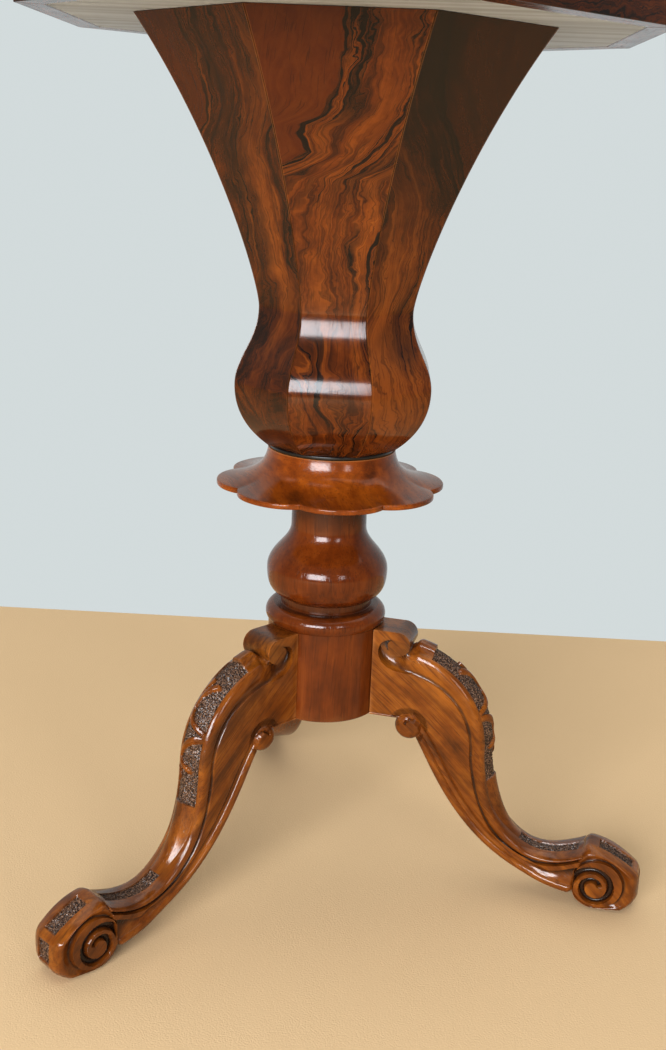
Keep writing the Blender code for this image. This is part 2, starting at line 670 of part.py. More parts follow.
def leg_mesh():
    """One leg along +X with its foot, rolls and dovetail tongue."""
    face = BLOCK_RADIUS
    head_half = LEG_HALF - QUIRK / 4
    roll = cross_roll(face + ROLL_OUT, HEAD_TOP - ROLL_RADIUS, ROLL_RADIUS, head_half)
    strap = prism([(face, -head_half), (face + ROLL_OUT, -head_half), (face + ROLL_OUT, head_half),
                   (face, head_half)], HEAD_TOP - STRAP, HEAD_TOP - QUIRK / 4)
    knee_scroll = cross_roll(face + KNEE_SCROLL_OUT, COLUMN_CLEARANCE - KNEE_SCROLL_DROP,
                             KNEE_SCROLL_RADIUS, LEG_HALF + KNEE_SCROLL_PROUD)
    joined = [mesh_from(bm, "shape") for bm in (foot_body(), strap, roll, knee_scroll)]
    leg = combine(mesh_from(leg_body(), "leg"), joined, "UNION")
    scribe = prism(circle(face + JOINT_GAP, TURNING_STEPS), 0.0, RING_TOP)
    cuts = [spiral_channel(1), spiral_channel(-1), scribe]
    leg = combine(leg, [mesh_from(bm, "cutter") for bm in cuts], "DIFFERENCE")
    tongue = prism(tongue_outline(0.0), COLUMN_CLEARANCE + QUIRK, BLOCK_TOP - TONGUE_STOP)
    return smoothed(combine(leg, [mesh_from(tongue, "tongue")], "UNION"))


def build_legs(table):
    """Three legs that share one mesh."""
    leg = leg_mesh()
    names = ["leg_front_left", "leg_front_right", "leg_back"]
    for name, angle in zip(names, leg_angles()):
        place(name, leg, "polished_walnut", table, angle)


# Box

def mitred_board(inner, outer, low, high):
    """A board of an octagonal wall, its outer face towards +X, mitred with a fine gap."""
    clearance = JOINT_GAP / 2 / math.cos(HALF_FACET)
    inner_half = inner * math.tan(HALF_FACET) - clearance
    outer_half = outer * math.tan(HALF_FACET) - clearance
    outline = [(inner, -inner_half), (outer, -outer_half), (outer, outer_half), (inner, inner_half)]
    return prism(outline, low, high)


def bottom_planks(table):
    """Four planks of the underside, fitted round the mouth of the trumpet."""
    reach = INNER_FLAT - JOINT_GAP
    half_gap = JOINT_GAP / 2
    below = UNDERSIDE - BOTTOM_BOARD
    above = UNDERSIDE + 2 * BOTTOM_BOARD
    mouth = mesh_from(prism(octagon(WELL_FLAT), below, above), "mouth")
    outline = mesh_from(prism(octagon(reach), below, above), "outline")
    spans = {
        "bottom_board_front": ((-reach, -reach), (reach, -PLANK_JOINT - half_gap)),
        "bottom_board_back": ((-reach, PLANK_JOINT + half_gap), (reach, reach)),
        "bottom_board_left": ((-reach, -PLANK_JOINT + half_gap), (-half_gap, PLANK_JOINT - half_gap)),
        "bottom_board_right": ((half_gap, -PLANK_JOINT + half_gap), (reach, PLANK_JOINT - half_gap)),
    }
    for name, (low, high) in spans.items():
        plank = box_mesh((*low, UNDERSIDE), (*high, UNDERSIDE + BOTTOM_BOARD))
        plank = combine(plank, [outline.copy()], "INTERSECT")
        plank = combine(plank, [mouth.copy()], "DIFFERENCE")
        place(name, plank, "bare_softwood", table)


def build_box(table):
    """Eight mitred sides, the bottom planks, and the well walls and dividers that stand on them."""
    side = mesh_from(mitred_board(INNER_FLAT, BOX_FLAT, UNDERSIDE, BOX_TOP), "box_side")
    back = FACETS // 2
    for k in range(FACETS):
        mesh = side
        if k == back:
            mesh = combine(side.copy(), hinge_mortises(FRONT + 2 * HALF_FACET * k), "DIFFERENCE")
        place(f"box_side_{k + 1}", mesh, "burr_walnut_veneer", table, FRONT + 2 * HALF_FACET * k)
    bottom_planks(table)

    wall_outer = WELL_FLAT + FITTING_BOARD
    wall = mesh_from(mitred_board(WELL_FLAT, wall_outer, FITTING_FOOT, FITTING_TOP), "well_wall")
    start = wall_outer / math.cos(HALF_FACET) + JOINT_GAP + FITTING_BOARD / 2 * math.tan(HALF_FACET)
    end = INNER_FLAT / math.cos(HALF_FACET) - JOINT_GAP - FITTING_BOARD / 2 * math.tan(HALF_FACET)
    half = FITTING_BOARD / 2
    outline = [(start, -half), (end, -half), (end, half), (start, half)]
    divider = mesh_from(prism(outline, FITTING_FOOT, FITTING_TOP), "divider")
    for k in range(FACETS):
        turn = FRONT + 2 * HALF_FACET * k
        place(f"well_wall_{k + 1}", wall, "polished_walnut", table, turn)
        place(f"divider_{k + 1}", divider, "polished_walnut", table, turn + HALF_FACET)


# Lid and hinges

def hinge_centres():
    """Sideways places of the two hinges."""
    return {"left": -HINGE_SPACING / 2, "right": HINGE_SPACING / 2}


def hinge_mortises(turn):
    """Cutters for the box leaves in the top edge of a side whose face is turned from +X by an angle."""
    cutters = []
    for x in hinge_centres().values():
        half = HINGE_LENGTH / 2 + JOINT_GAP
        low = (x - half, BOX_FLAT - LEAF_DEPTH - JOINT_GAP, BOX_TOP - LEAF_THICKNESS - JOINT_GAP)
        high = (x + half, BOX_FLAT + LEAF_DEPTH, BOX_TOP + LEAF_THICKNESS)
        cutter = box_mesh(low, high)
        cutter.transform(Matrix.Rotation(-turn, 4, "Z"))
        cutters.append(cutter)
    return cutters


def hinge_leaf(x, knuckles, low, high):
    """A hinge leaf between two heights, with knuckles over the given stretches of its length."""
    half = HINGE_LENGTH / 2
    inner = BOX_FLAT - LEAF_DEPTH
    plate = box_mesh((x - half, inner, low), (x + half, HINGE_AXIS_Y - KNUCKLE_RADIUS - JOINT_GAP, high))
    shapes = []
    bores = []
    for start, end in knuckles:
        tab = box_mesh((x + start, inner + LEAF_DEPTH / 2, low), (x + end, HINGE_AXIS_Y, high))
        shapes.append(tab)
        shapes.append(along_x(circle(KNUCKLE_RADIUS, KNUCKLE_STEPS, HALF_FACET), x + start, x + end))
        bores.append(along_x(circle(PIN_RADIUS + PIN_CLEARANCE, KNUCKLE_STEPS, HALF_FACET),
                             x + start - LEAF_DEPTH, x + end + LEAF_DEPTH))
    leaf = combine(plate, shapes, "UNION")
    return combine(leaf, bores, "DIFFERENCE")


def along_x(outline, start, end):
    """A prism along X about the hinge axis."""
    rings = [[Vector((x, HINGE_AXIS_Y + y, HINGE_AXIS_Z + z)) for y, z in outline] for x in (start, end)]
    return mesh_from(loft(rings), "rod")


def build_hinges(table, lid):
    """Two butt hinges: a leaf on the box, a leaf on the lid and a pin in each."""
    third = HINGE_LENGTH / 3
    half = HINGE_LENGTH / 2
    outer = [(-half, -half + third - JOINT_GAP / 2), (half - third + JOINT_GAP / 2, half)]
    middle = [(-half + third + JOINT_GAP / 2, half - third - JOINT_GAP / 2)]
    for side, x in hinge_centres().items():
        box_leaf = hinge_leaf(x, outer, BOX_TOP - LEAF_THICKNESS, BOX_TOP)
        place(f"hinge_{side}_box_leaf", box_leaf, "brass", table)
        lid_leaf = hinge_leaf(x, middle, LID_FOOT, LID_FOOT + LEAF_THICKNESS)
        lid_leaf.transform(Matrix.Translation((0, -HINGE_AXIS_Y, -HINGE_AXIS_Z)))
        place(f"hinge_{side}_lid_leaf", lid_leaf, "brass", lid)
        pin = along_x(circle(PIN_RADIUS, KNUCKLE_STEPS, HALF_FACET), x - half, x + half)
        place(f"hinge_{side}_pin", pin, "brass", table)


def build_lid(lid):
    """The lid with its moulded edge, let in for the hinges, and the lining panel under it."""
    lip_top = LID_FOOT + LID_LIP
    crown = LID_FLAT - LID_STEP
    profile = [(LID_FLAT, LID_FOOT), (LID_FLAT, lip_top), (crown, lip_top)]
    rise = LID_TOP - lip_top
    for k in range(1, LID_ROUND_STEPS + 1):
        a = math.pi / 2 * k / LID_ROUND_STEPS
        profile.append((crown - LID_ROUND * (1 - math.cos(a)), lip_top + rise * math.sin(a)))
    board = mesh_from(loft([octagon_ring(flat, z) for flat, z in profile]), "lid_board")
    cutters = []
    for x in hinge_centres().values():
        half = HINGE_LENGTH / 2 + JOINT_GAP
        back = LID_FLAT + LID_OVERHANG
        leaf_front = BOX_FLAT - LEAF_DEPTH - JOINT_GAP
        knuckle_front = HINGE_AXIS_Y - KNUCKLE_RADIUS - 2 * JOINT_GAP
        low = LID_FOOT - LEAF_THICKNESS
        leaf_top = LID_FOOT + LEAF_THICKNESS + JOINT_GAP
        knuckle_top = HINGE_AXIS_Z + KNUCKLE_RADIUS + 2 * JOINT_GAP
        cutters.append(box_mesh((x - half, leaf_front, low), (x + half, back, leaf_top)))
        cutters.append(box_mesh((x - half, knuckle_front, low), (x + half, back, knuckle_top)))
    board = combine(board, cutters, "DIFFERENCE")
    top = LID_FOOT - JOINT_GAP
    lining = mesh_from(prism(octagon(INNER_FLAT - LINING_MARGIN), top - LINING_BOARD, top), "lid_lining")
    for mesh in (board, lining):
        mesh.transform(Matrix.Translation((0, -HINGE_AXIS_Y, -HINGE_AXIS_Z)))
    place("lid_board", board, "burr_walnut_veneer", lid)
    place("lid_lining", lining, "lining_paper", lid)


def centre_over_floor(table):
    """Move the table so that the middle of its plan lies on the origin."""
    bpy.context.view_layer.update()
    corners = [piece.matrix_world @ vertex.co for piece in bpy.data.objects if piece.type == "MESH"
               for vertex in piece.data.vertices]
    for axis in (0, 1):
        values = [corner[axis] for corner in corners]
        table.location[axis] = -(min(values) + max(values)) / 2


def main():
    """Build the whole table."""
    clear_scene()
    table = bpy.data.objects.new("table", None)
    bpy.context.scene.collection.objects.link(table)
    lid = bpy.data.objects.new("lid_axis", None)
    bpy.context.scene.collection.objects.link(lid)
    lid.parent = table
    lid.location = (0, HINGE_AXIS_Y, HINGE_AXIS_Z)
    build_trumpet(table)
    build_column(table)
    build_legs(table)
    build_box(table)
    build_lid(lid)
    build_hinges(table, lid)
    centre_over_floor(table)
    print("axis of the column", [round(value, 5) for value in table.location])


main()
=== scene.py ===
import math
import random
from collections import namedtuple

import bmesh
import bpy
import numpy as np
from bpy.props import FloatProperty, FloatVectorProperty, PointerProperty
from bpy.types import Operator, Panel, PropertyGroup
from mathutils import Matrix, Vector


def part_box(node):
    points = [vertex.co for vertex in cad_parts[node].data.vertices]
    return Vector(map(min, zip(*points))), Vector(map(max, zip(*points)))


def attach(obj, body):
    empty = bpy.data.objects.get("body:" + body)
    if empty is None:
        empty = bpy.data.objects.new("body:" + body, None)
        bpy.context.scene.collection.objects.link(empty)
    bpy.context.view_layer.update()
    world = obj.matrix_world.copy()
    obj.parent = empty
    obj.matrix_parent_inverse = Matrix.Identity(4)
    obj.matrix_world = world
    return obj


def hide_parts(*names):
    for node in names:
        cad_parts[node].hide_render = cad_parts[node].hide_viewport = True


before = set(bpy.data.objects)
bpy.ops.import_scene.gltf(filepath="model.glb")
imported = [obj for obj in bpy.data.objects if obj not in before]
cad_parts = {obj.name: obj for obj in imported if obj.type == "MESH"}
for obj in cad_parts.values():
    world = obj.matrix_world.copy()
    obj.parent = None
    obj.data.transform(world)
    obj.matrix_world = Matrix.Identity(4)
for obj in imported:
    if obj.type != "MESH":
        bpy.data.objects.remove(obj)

bl_info = {
    "name": "Trumpet work table",
    "version": (1, 0, 0),
    "blender": (4, 5, 0),
    "location": "3D View > Sidebar > Work table",
    "description": "Carved and veneered surfaces for a trumpet-shaped sewing table",
    "category": "Mesh",
}

# A curve between two points: the angles in degrees along which it leaves and arrives, and how
# strongly it keeps to each as a share of the distance.
Bend = namedtuple("Bend", "leave leave_pull arrive arrive_pull")

# A spiral channel in the side of a scroll: its middle, the radii and angle where it begins and
# ends, its turns (clockwise below zero), how it draws in, half its width and the share of it that
# is lost, its depth, and the share of its length over which it fades at both ends.
Channel = namedtuple("Channel", "pole start end turns angle tightening half taper depth fade")

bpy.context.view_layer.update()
# Clearance in the joints, the distance within which points are one, and the angle of an edge from
# which it is rounded over
GAP = 0.0003
MERGE = 1e-7
EASED_FROM = math.radians(40)
FACETS = 8
HALF_FACET = math.pi / FACETS
FRONT = -math.pi / 2
AXIS = (Vector(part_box("black_ring")[0]) + Vector(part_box("black_ring")[1])) / 2
AXIS.z = 0.0

# Turned column
COLUMN_FOOT = 0.135
BLOCK_RADIUS = 0.0445
BLOCK_TOP = 0.2035
COLUMN_EDGE = 0.0008
RING_OVERHANG = 0.0023
RING_HEIGHT = 0.0158
RING_TOP = BLOCK_TOP + RING_HEIGHT
FILLET_STEP = 0.0035
FILLET_TOP = RING_TOP + 0.0063
FILLET_EDGE, FILLET_CORNER = 0.0003, 0.0004
BELLY = (0.0467, FILLET_TOP + 0.0215)
WAIST = (0.0288, FILLET_TOP + 0.0565)
COLLAR_SEAT = FILLET_TOP + 0.0869
NECK_RADIUS = 0.0305
FILLET_TO_BELLY = Bend(25, 0.37, 90, 0.53)
BELLY_TO_WAIST = Bend(90, 0.38, 90, 0.36)
WAIST_TO_NECK = Bend(90, 0.39, 75, 0.33)
# Painted shadow under the collar: how far below the collar it begins and how dark it is at the
# collar; how dark the fillet is made
WAIST_SHADE = 0.050
WAIST_PAINTED_SHADOW, FILLET_DARKENING = 0.32, 0.18
TENON_RADIUS = 0.0145
TENON_GRIP = 0.026
TURNING_STEPS = 128

# Collar and black ring
COLLAR_FOOT = COLLAR_SEAT + GAP
COLLAR_TOP = COLLAR_FOOT + 0.0297
COLLAR_TOP_RADIUS = 0.048
COLLAR_RADIUS = 0.0863
COLLAR_RIM = 0.0042
COLLAR_FLARE = Bend(-84, 0.28, -6, 0.65)
LOBES = 8
LOBE_DEPTH = 0.0085
LOBE_FULLNESS = 2.4
LOBE_TURN = math.radians(9.0)
LOBE_STEPS = 24
BLACK_RING_FOOT = COLLAR_TOP + GAP
BLACK_RING_TOP = BLACK_RING_FOOT + 0.0023
BLACK_RING_RADIUS = COLLAR_TOP_RADIUS - 0.0006
BLACK_RING_ROUND = 0.0005

# Trumpet
FOOT_LEVEL = BLACK_RING_TOP + GAP
TRUMPET_FOOT = (0.0465, FOOT_LEVEL)
TRUMPET_BULB = (0.0712, FOOT_LEVEL + 0.0464)
TRUMPET_NECK = (0.0553, FOOT_LEVEL + 0.1019)
TRUMPET_TOP = (0.1378, FOOT_LEVEL + 0.2924)
FOOT_TO_BULB = Bend(38, 0.27, 90, 0.44)
BULB_TO_NECK = Bend(90, 0.35, 90, 0.42)
NECK_TO_RIM = Bend(90, 0.077, 56, 0.46)
TRUMPET_WALL = 0.011
WELL_FLOOR = (TRUMPET_NECK[1] + 0.014, TRUMPET_NECK[1] + 0.022)
# Shares of half a stave's width where its mesh is divided, and beyond which its edge is rubbed
STAVE_LINES = (-0.97, -0.8, -0.6, -0.4, -0.2, 0.0, 0.2, 0.4, 0.6, 0.8, 0.97)
RUBBED_FROM = 0.975

# Box, fittings and lid
UNDERSIDE = TRUMPET_TOP[1] + GAP
BOX_FLAT = 0.208
INNER_FLAT = 0.190
FACE_DEPTH = 0.001
BOX_TOP = UNDERSIDE + 0.075
BOTTOM_BOARD = 0.012
PLANK_JOINT = 0.094
WELL_FLAT = TRUMPET_TOP[0] - TRUMPET_WALL
FITTING_BOARD = 0.005
FITTING_FOOT = UNDERSIDE + BOTTOM_BOARD + GAP
FITTING_TOP = BOX_TOP - 0.004
WELL_ROUND, DIVIDER_ROUND = 0.0008, 0.0012
LID_FLAT = 0.216
LID_FOOT = BOX_TOP + GAP
LID_LIP = LID_FOOT + 0.009
LID_STEP = 0.0025
LID_ROUND = 0.0105
LID_TOP = LID_FOOT + 0.021
LID_EDGE = 0.0006
LID_LINE = 0.0012
LINING_FLAT = INNER_FLAT - 0.006
LINING_TOP = LID_FOOT - GAP
LINING_BOARD = 0.0016
LINING_ROUND = 0.0006

# Hinges
HINGE_LENGTH = 0.044
HINGE_PLACES = {"left": -0.048, "right": 0.048}
LEAF_THICKNESS = 0.0015
LEAF_DEPTH = 0.0125
KNUCKLE_RADIUS = 0.0032
PIN_RADIUS = 0.0014
PIN_PLAY = 0.0001
LEAF_EDGE, CHAMFER = 0.0002, 0.0003
# Screws: shares of a leaf's length where they sit and of its depth there, their depth, and how far
# their heads stand proud
SCREW_PLACES = ((-0.34, 0.35), (0.0, 0.55), (0.34, 0.35))
SCREW_DEPTH = 0.0012
SCREW_PROUD = 0.00008
MORTISE_OVER = 0.008
HINGE_AXIS_Y = BOX_FLAT + 0.0037
HINGE_AXIS_Z = BOX_TOP + GAP / 2

# Legs: outwards from the middle of the column, up from the floor
LEG_TURNS = [math.radians(227.15 + 120 * k) for k in range(3)]
LEG_NODES = ["leg_front_left", "leg_front_right", "leg_back"]
LEG_HALF = 0.0148
QUIRK = 0.0016
HEAD_TOP = BLOCK_TOP + 0.0022
ROLL = Vector((BLOCK_RADIUS + 0.0173, HEAD_TOP - 0.0103))
# The roll from its top round to its inner end, as angles and radii, and the underside of the band
# it hangs from, in to the block
ROLL_SPIRAL = ((90, 0.0103), (45, 0.0104), (0, 0.0101), (-45, 0.0096), (-90, 0.0089),
               (-135, 0.0082), (-180, 0.0073), (-205, 0.0061), (-222, 0.0052))
ROLL_BAND = ((-0.0073, 0.0033), (-0.0106, 0.0018), (-0.0133, -0.0010), (-0.0144, -0.0046))
ROLL_EDGE = 0.0016
ROLL_ROUND = 0.0006
THROAT_HALF = 0.0065
UNDER_ROLL = -0.0030
SHOULDER = (BLOCK_RADIUS + 0.029, BLOCK_TOP - 0.010)
KNEE = (BLOCK_RADIUS + 0.0933, 0.118)
ANKLE = (BLOCK_RADIUS + 0.1425, 0.0368)
HUMP = (BLOCK_RADIUS + 0.177, 0.0507)
INSTEP = (HUMP[0] - 0.0045, HUMP[1] - 2 * QUIRK)
# At the shoulder, knee, ankle and instep: the depth of the moulded edge
EDGE_DEPTHS = (0.0206, 0.0162, 0.0082, 0.0090)
SHOULDER_TO_KNEE = Bend(-10, 0.32, -88, 0.47)
KNEE_TO_ANKLE = Bend(-87, 0.36, 0, 0.37)
ANKLE_TO_INSTEP = Bend(0, 0.50, 30, 0.19)
KNEE_SCROLL = Vector((BLOCK_RADIUS + 0.0295, COLUMN_FOOT - 0.0055))
KNEE_SCROLL_RADIUS = 0.0110
KNEE_SCROLL_PROUD = 0.0022
KNEE_SCROLL_SOFT = 0.0058
# The underside of a leg, and the share of it that lies below the same four places
UNDERSIDE_RUN = Bend(-55, 0.18, -8.5, 0.51)
UNDERSIDE_SHARES = (0.0, 0.28, 0.87, 1.0)
UNDERSIDE_STEPS = 2000
TONGUE_LENGTH = 0.017
TONGUE_ROOT = 0.012
TONGUE_TIP = 0.018
TONGUE_STOP = 0.006
# Panel on the top of a leg: half its width and how far its edges fall below its crown
TABLET_PANEL, KNEE_PANEL, ANKLE_PANEL = (0.0115, 0.0052), (0.0106, 0.0062), (0.0060, 0.0012)
CROWN = 0.0025
# Tablet behind the roll: the run of its rise, half its top, its edge and the hollow beside it
TABLET_RUN, TABLET_HALF, TABLET_EDGE, TABLET_SCOOP = 0.004, 0.0066, 0.0016, 0.0058
# Moulded edge from the sharp arris up to the carved panel: shares of its depth and of its swell,
# and how much old polish has gathered there
MOULDING = ((1.0, 1.0, 0.0), (0.985, 0.90, 0.25), (0.94, 0.76, 0.5), (0.88, 0.69, 0.55),
            (0.81, 0.72, 0.4), (0.73, 0.82, 0.1), (0.63, 0.92, 0.0), (0.52, 0.975, 0.0),
            (0.41, 0.975, 0.0), (0.30, 0.92, 0.0), (0.19, 0.79, 0.0), (0.09, 0.54, 0.0),
            (0.025, 0.24, 0.0), (0.0, 0.0, 0.0))
FOOT_MOULDING = ((1.0, 1.0, 0.0), (0.99, 0.90, 0.2), (0.96, 0.79, 0.5), (0.90, 0.75, 0.4),
                 (0.79, 0.76, 0.2), (0.59, 0.85, 0.0), (0.47, 0.87, 0.0), (0.35, 0.82, 0.0),
                 (0.23, 0.68, 0.0), (0.12, 0.46, 0.0), (0.04, 0.20, 0.0), (0.0, 0.0, 0.0))
# The hollow under the roll, in the same shares
THROAT = ((1.0, 1.0), (0.975, 0.80), (0.93, 0.52), (0.86, 0.32), (0.76, 0.22), (0.60, 0.18),
          (0.0, 0.0))
# Upper edge of the flat side round the roll, from the middle of the roll
THROAT_LINE = ((-0.0146, -0.0010), (-0.0142, -0.0100), (-0.0098, -0.0170), (-0.0020, -0.0210),
               (0.0117, -0.0228))
# Bead and cove along the underside: their least size, what they gain along the leg, and the depth
# of the cove, with what it gains towards the foot
BEAD_LEAST, BEAD_GAIN = 0.0010, 0.0030
COVE_LEAST, COVE_GAIN = 0.0006, 0.0064
COVE_DIP, FLARE_DIP = 0.0013, 0.0026
BAND = 0.0046
# The hollow round the knee scroll: its width, depth, and the angles where it begins and ends
KNEE_COVE = 0.0050
KNEE_COVE_DEPTH = 0.0024
KNEE_COVE_START, KNEE_COVE_END = -75.0, 200.0
# How far out from the block the hollow under the roll fades, the carving begins, the knee is past,
# the ground at the ankle lies, and the leg widens and flares; the height where the carving ends
THROAT_FADE = (0.019, 0.038)
CARVING_START, PAST_KNEE = 0.0445, 0.080
ANKLE_GROUND = (0.120, 0.168)
WIDENING = (0.128, 0.168)
FLARE = (0.132, 0.172)
CARVING_FOOT = 0.093
STRAP_EDGE = 0.0007
KNEE_SEED, FOOT_SEED = 5, 9
# The end of a leg inside its foot: the way its top and its underside go, and how far it narrows
END_TOP, END_FOOT, END_NARROWS = (0.004, -0.004), (0.011, 0.001), 0.0055
# Old polish on the rolls, painted shadow on the back leg below the block, and the way of the grain
ROLL_POLISH, BACK_LEG_PAINTED_SHADOW = 0.14, 0.4
LEG_GRAIN = (0.74, 0.0, -0.67)

# Volute foot
FOOT = Vector((BLOCK_RADIUS + 0.1848, 0.0226))
FOOT_RADIUS = 0.0191
FOOT_HALF = 0.018
FOOT_PANEL_HALF = 0.0068
TOE_HOLLOW = 0.0013
HEEL = (BLOCK_RADIUS + 0.16175, 0.0100)
CREST = (BLOCK_RADIUS + 0.2135, 0.0335)
TOE = (BLOCK_RADIUS + 0.2160, 0.0156)
SOLE_OUTER = (BLOCK_RADIUS + 0.2050, 0.0)
SOLE_INNER = (BLOCK_RADIUS + 0.182, 0.0)
FOOT_BACK = (BLOCK_RADIUS + 0.1658, 0.0121)
WAIST_TO_HUMP = Bend(45, 0.34, 0, 0.34)
HUMP_TO_CREST = Bend(-8, 0.30, -38, 0.25)
CREST_TO_TOE = Bend(-50, 0.28, -90, 0.44)
TOE_TO_SOLE = Bend(-92, 0.36, -150, 0.25)
SOLE_TO_BACK = Bend(180, 0.38, 100, 0.38)
FOOT_CHANNEL = Channel(pole=(-0.0025, -0.0036), start=0.0170, end=0.0049, turns=-1.45, angle=180,
                       tightening=1.0, half=0.0031, taper=0.30, depth=0.0046, fade=0.04)
KNEE_CHANNEL = Channel(pole=(0.0, 0.0), start=0.0118, end=0.0030, turns=0.50, angle=-35,
                       tightening=0.9, half=0.0016, taper=0.35, depth=0.0020, fade=0.04)
# How much old polish lies in the channels
FOOT_STAIN, KNEE_STAIN = 0.85, 0.2

# Stage. Lights: name, place, the point it looks at, width and height, power and tone
LAMPS = (
    ("window_left", (-0.71, -2.32, 0.95), (0, 0, 0.35), (1.46, 0.98), 82, (0.90, 0.95, 1.0)),
    ("window_right", (1.22, -2.08, 1.0), (0, 0, 0.35), (0.40, 0.70), 7, (0.90, 0.95, 1.0)),
    ("ceiling", (0.2, 0.2, 2.6), (0, 0, 0.3), (3.4, 3.4), 38, (1.0, 0.97, 0.92)),
)
FLOOR_HALF = 3.0
FLOOR_PLACE = (0.0, -2.5, 0.0)
LENS, SENSOR, SHIFT = 43.504, 36.0, -0.0051
CAMERA_PLACE = (0.0164, -0.9522, 0.5589)
CAMERA_TURNS = ((1.803, "Z"), (73.424, "X"), (2.366, "Z"))
EXPOSURE, GAMMA = 0.2, 0.86


# Curves and meshes

def heading(degrees):
    """The flat direction at an angle."""
    return Vector((math.cos(math.radians(degrees)), math.sin(math.radians(degrees))))


def curve(start, end, bend, steps):
    """Points of a cubic curve between two points, without the first."""
    a, d = Vector(start), Vector(end)
    distance = (d - a).length
    b = a + heading(bend.leave) * bend.leave_pull * distance
    c = d - heading(bend.arrive) * bend.arrive_pull * distance
    points = []
    for k in range(1, steps + 1):
        t = k / steps
        s = 1 - t
        point = a * s ** 3 + b * (3 * s * s * t) + c * (3 * s * t * t) + d * t ** 3
        points.append((point.x, point.y))
    return points


def arc(centre, radius, start, end, steps):
    """Points of an arc between two angles in degrees, both ends included."""
    angles = [math.radians(start + (end - start) * k / steps) for k in range(steps + 1)]
    return [(centre[0] + radius * math.cos(a), centre[1] + radius * math.sin(a)) for a in angles]


def smoothstep(value, low, high):
    """Zero below low, one above high, and a soft rise between them."""
    t = min(1.0, max(0.0, (value - low) / (high - low)))
    return t * t * (3 - 2 * t)


def straight(start, end, steps):
    """Points of a straight line between two points, without the first."""
    return [tuple(Vector(start).lerp(Vector(end), k / steps)) for k in range(1, steps + 1)]


def lengths_along(points):
    """The length of the way to each point of a row."""
    return np.cumsum([0.0] + [math.dist(a, b) for a, b in zip(points, points[1:])])


def facing(number):
    """The way that a face of the octagon looks, counted from the front one."""
    return FRONT + 2 * HALF_FACET * number


def to_corner(flat):
    """Middle to corner of an octagon, from its middle to flat."""
    return flat / math.cos(HALF_FACET)


def through(points, steps):
    """A smooth row of points through the given ones, with steps between each two."""
    row = [Vector(point) for point in points]
    row = [row[0] * 2 - row[1]] + row + [row[-1] * 2 - row[-2]]
    result = [row[1]]
    for a, b, c, d in zip(row, row[1:], row[2:], row[3:]):
        for k in range(1, steps + 1):
            t = k / steps
            result.append(0.5 * (b * 2 + (c - a) * t + (a * 2 - b * 5 + c * 4 - d) * t * t
                                 + (b * 3 - a - c * 3 + d) * t ** 3))
    return result


def spun(section, steps, start=0.0, angle=2 * math.pi, closed=False):
    """Spin a row of (reach, height) points about the upright axis."""
    bm = bmesh.new()
    verts = [bm.verts.new((reach, 0.0, height)) for reach, height in section]
    edges = [bm.edges.new(pair) for pair in zip(verts, verts[1:])]
    if closed:
        edges.append(bm.edges.new((verts[-1], verts[0])))
    bmesh.ops.rotate(bm, verts=verts, cent=(0, 0, 0), matrix=Matrix.Rotation(start, 3, "Z"))
    bmesh.ops.spin(bm, geom=verts + edges, cent=(0, 0, 0), axis=(0, 0, 1), dvec=(0, 0, 0),
                   angle=angle, steps=steps, use_merge=angle >= 2 * math.pi)
    bmesh.ops.remove_doubles(bm, verts=bm.verts, dist=MERGE)
    return close_up(bm)


def close_up(bm):
    """Fill the open ends and turn the faces outwards."""
    bmesh.ops.holes_fill(bm, edges=[edge for edge in bm.edges if edge.is_boundary])
    bmesh.ops.recalc_face_normals(bm, faces=bm.faces)
    return bm


def mitred(section):
    """A board of an octagonal wall, its face towards +X, from a closed (flat, height) section."""
    reach = [(to_corner(flat), height) for flat, height in section]
    bm = spun(reach, 1, -HALF_FACET, 2 * HALF_FACET, closed=True)
    clearance = to_corner(GAP / 2)
    for vert in bm.verts:
        vert.co.y -= math.copysign(clearance, vert.co.y)
    return bm


def ease(bm, width, segments=2, chosen=None):
    """Round over the sharp edges, or those of them that a test picks."""
    edges = [edge for edge in bm.edges
             if edge.is_manifold and edge.calc_face_angle(0.0) > EASED_FROM
             and (chosen is None or chosen(edge))]
    bmesh.ops.bevel(bm, geom=edges, offset=width, offset_type="OFFSET", segments=segments,
                    profile=0.5, affect="EDGES", clamp_overlap=True, material=-1)
    return bm


def divide(bm, place, across):
    """Add edges where a plane passes through, and cut nothing off."""
    bmesh.ops.bisect_plane(bm, geom=bm.verts[:] + bm.edges[:] + bm.faces[:], plane_co=place,
                           plane_no=across)


def skin(rings, marks):
    """A shell through a row of equal closed rings, with the stipple and recess of each point."""
    bm = bmesh.new()
    columns = len(rings[0])
    bmesh.ops.create_grid(bm, x_segments=columns, y_segments=len(rings) - 1, size=1.0)
    stipple = bm.verts.layers.float.new("stipple")
    recess = bm.verts.layers.float.new("recess")
    for vert in bm.verts:
        column = round((vert.co.x + 1) / 2 * columns) % columns
        row = round((vert.co.y + 1) / 2 * (len(rings) - 1))
        vert.co = rings[row][column]
        vert[stipple], vert[recess] = marks[row][column]
    bmesh.ops.remove_doubles(bm, verts=bm.verts, dist=MERGE)
    return close_up(bm)


def cuboid(low, high):
    """A rectangular block between two corners."""
    bm = bmesh.new()
    bmesh.ops.create_cube(bm, size=1.0)
    size = Vector(high) - Vector(low)
    bmesh.ops.scale(bm, verts=bm.verts, vec=size)
    bmesh.ops.translate(bm, verts=bm.verts, vec=(Vector(high) + Vector(low)) / 2)
    return bm


def rod(radius, length, steps):
    """A closed round rod along Z about the origin."""
    bm = bmesh.new()
    bmesh.ops.create_cone(bm, cap_ends=True, segments=steps, radius1=radius, radius2=radius,
                          depth=length)
    return bm


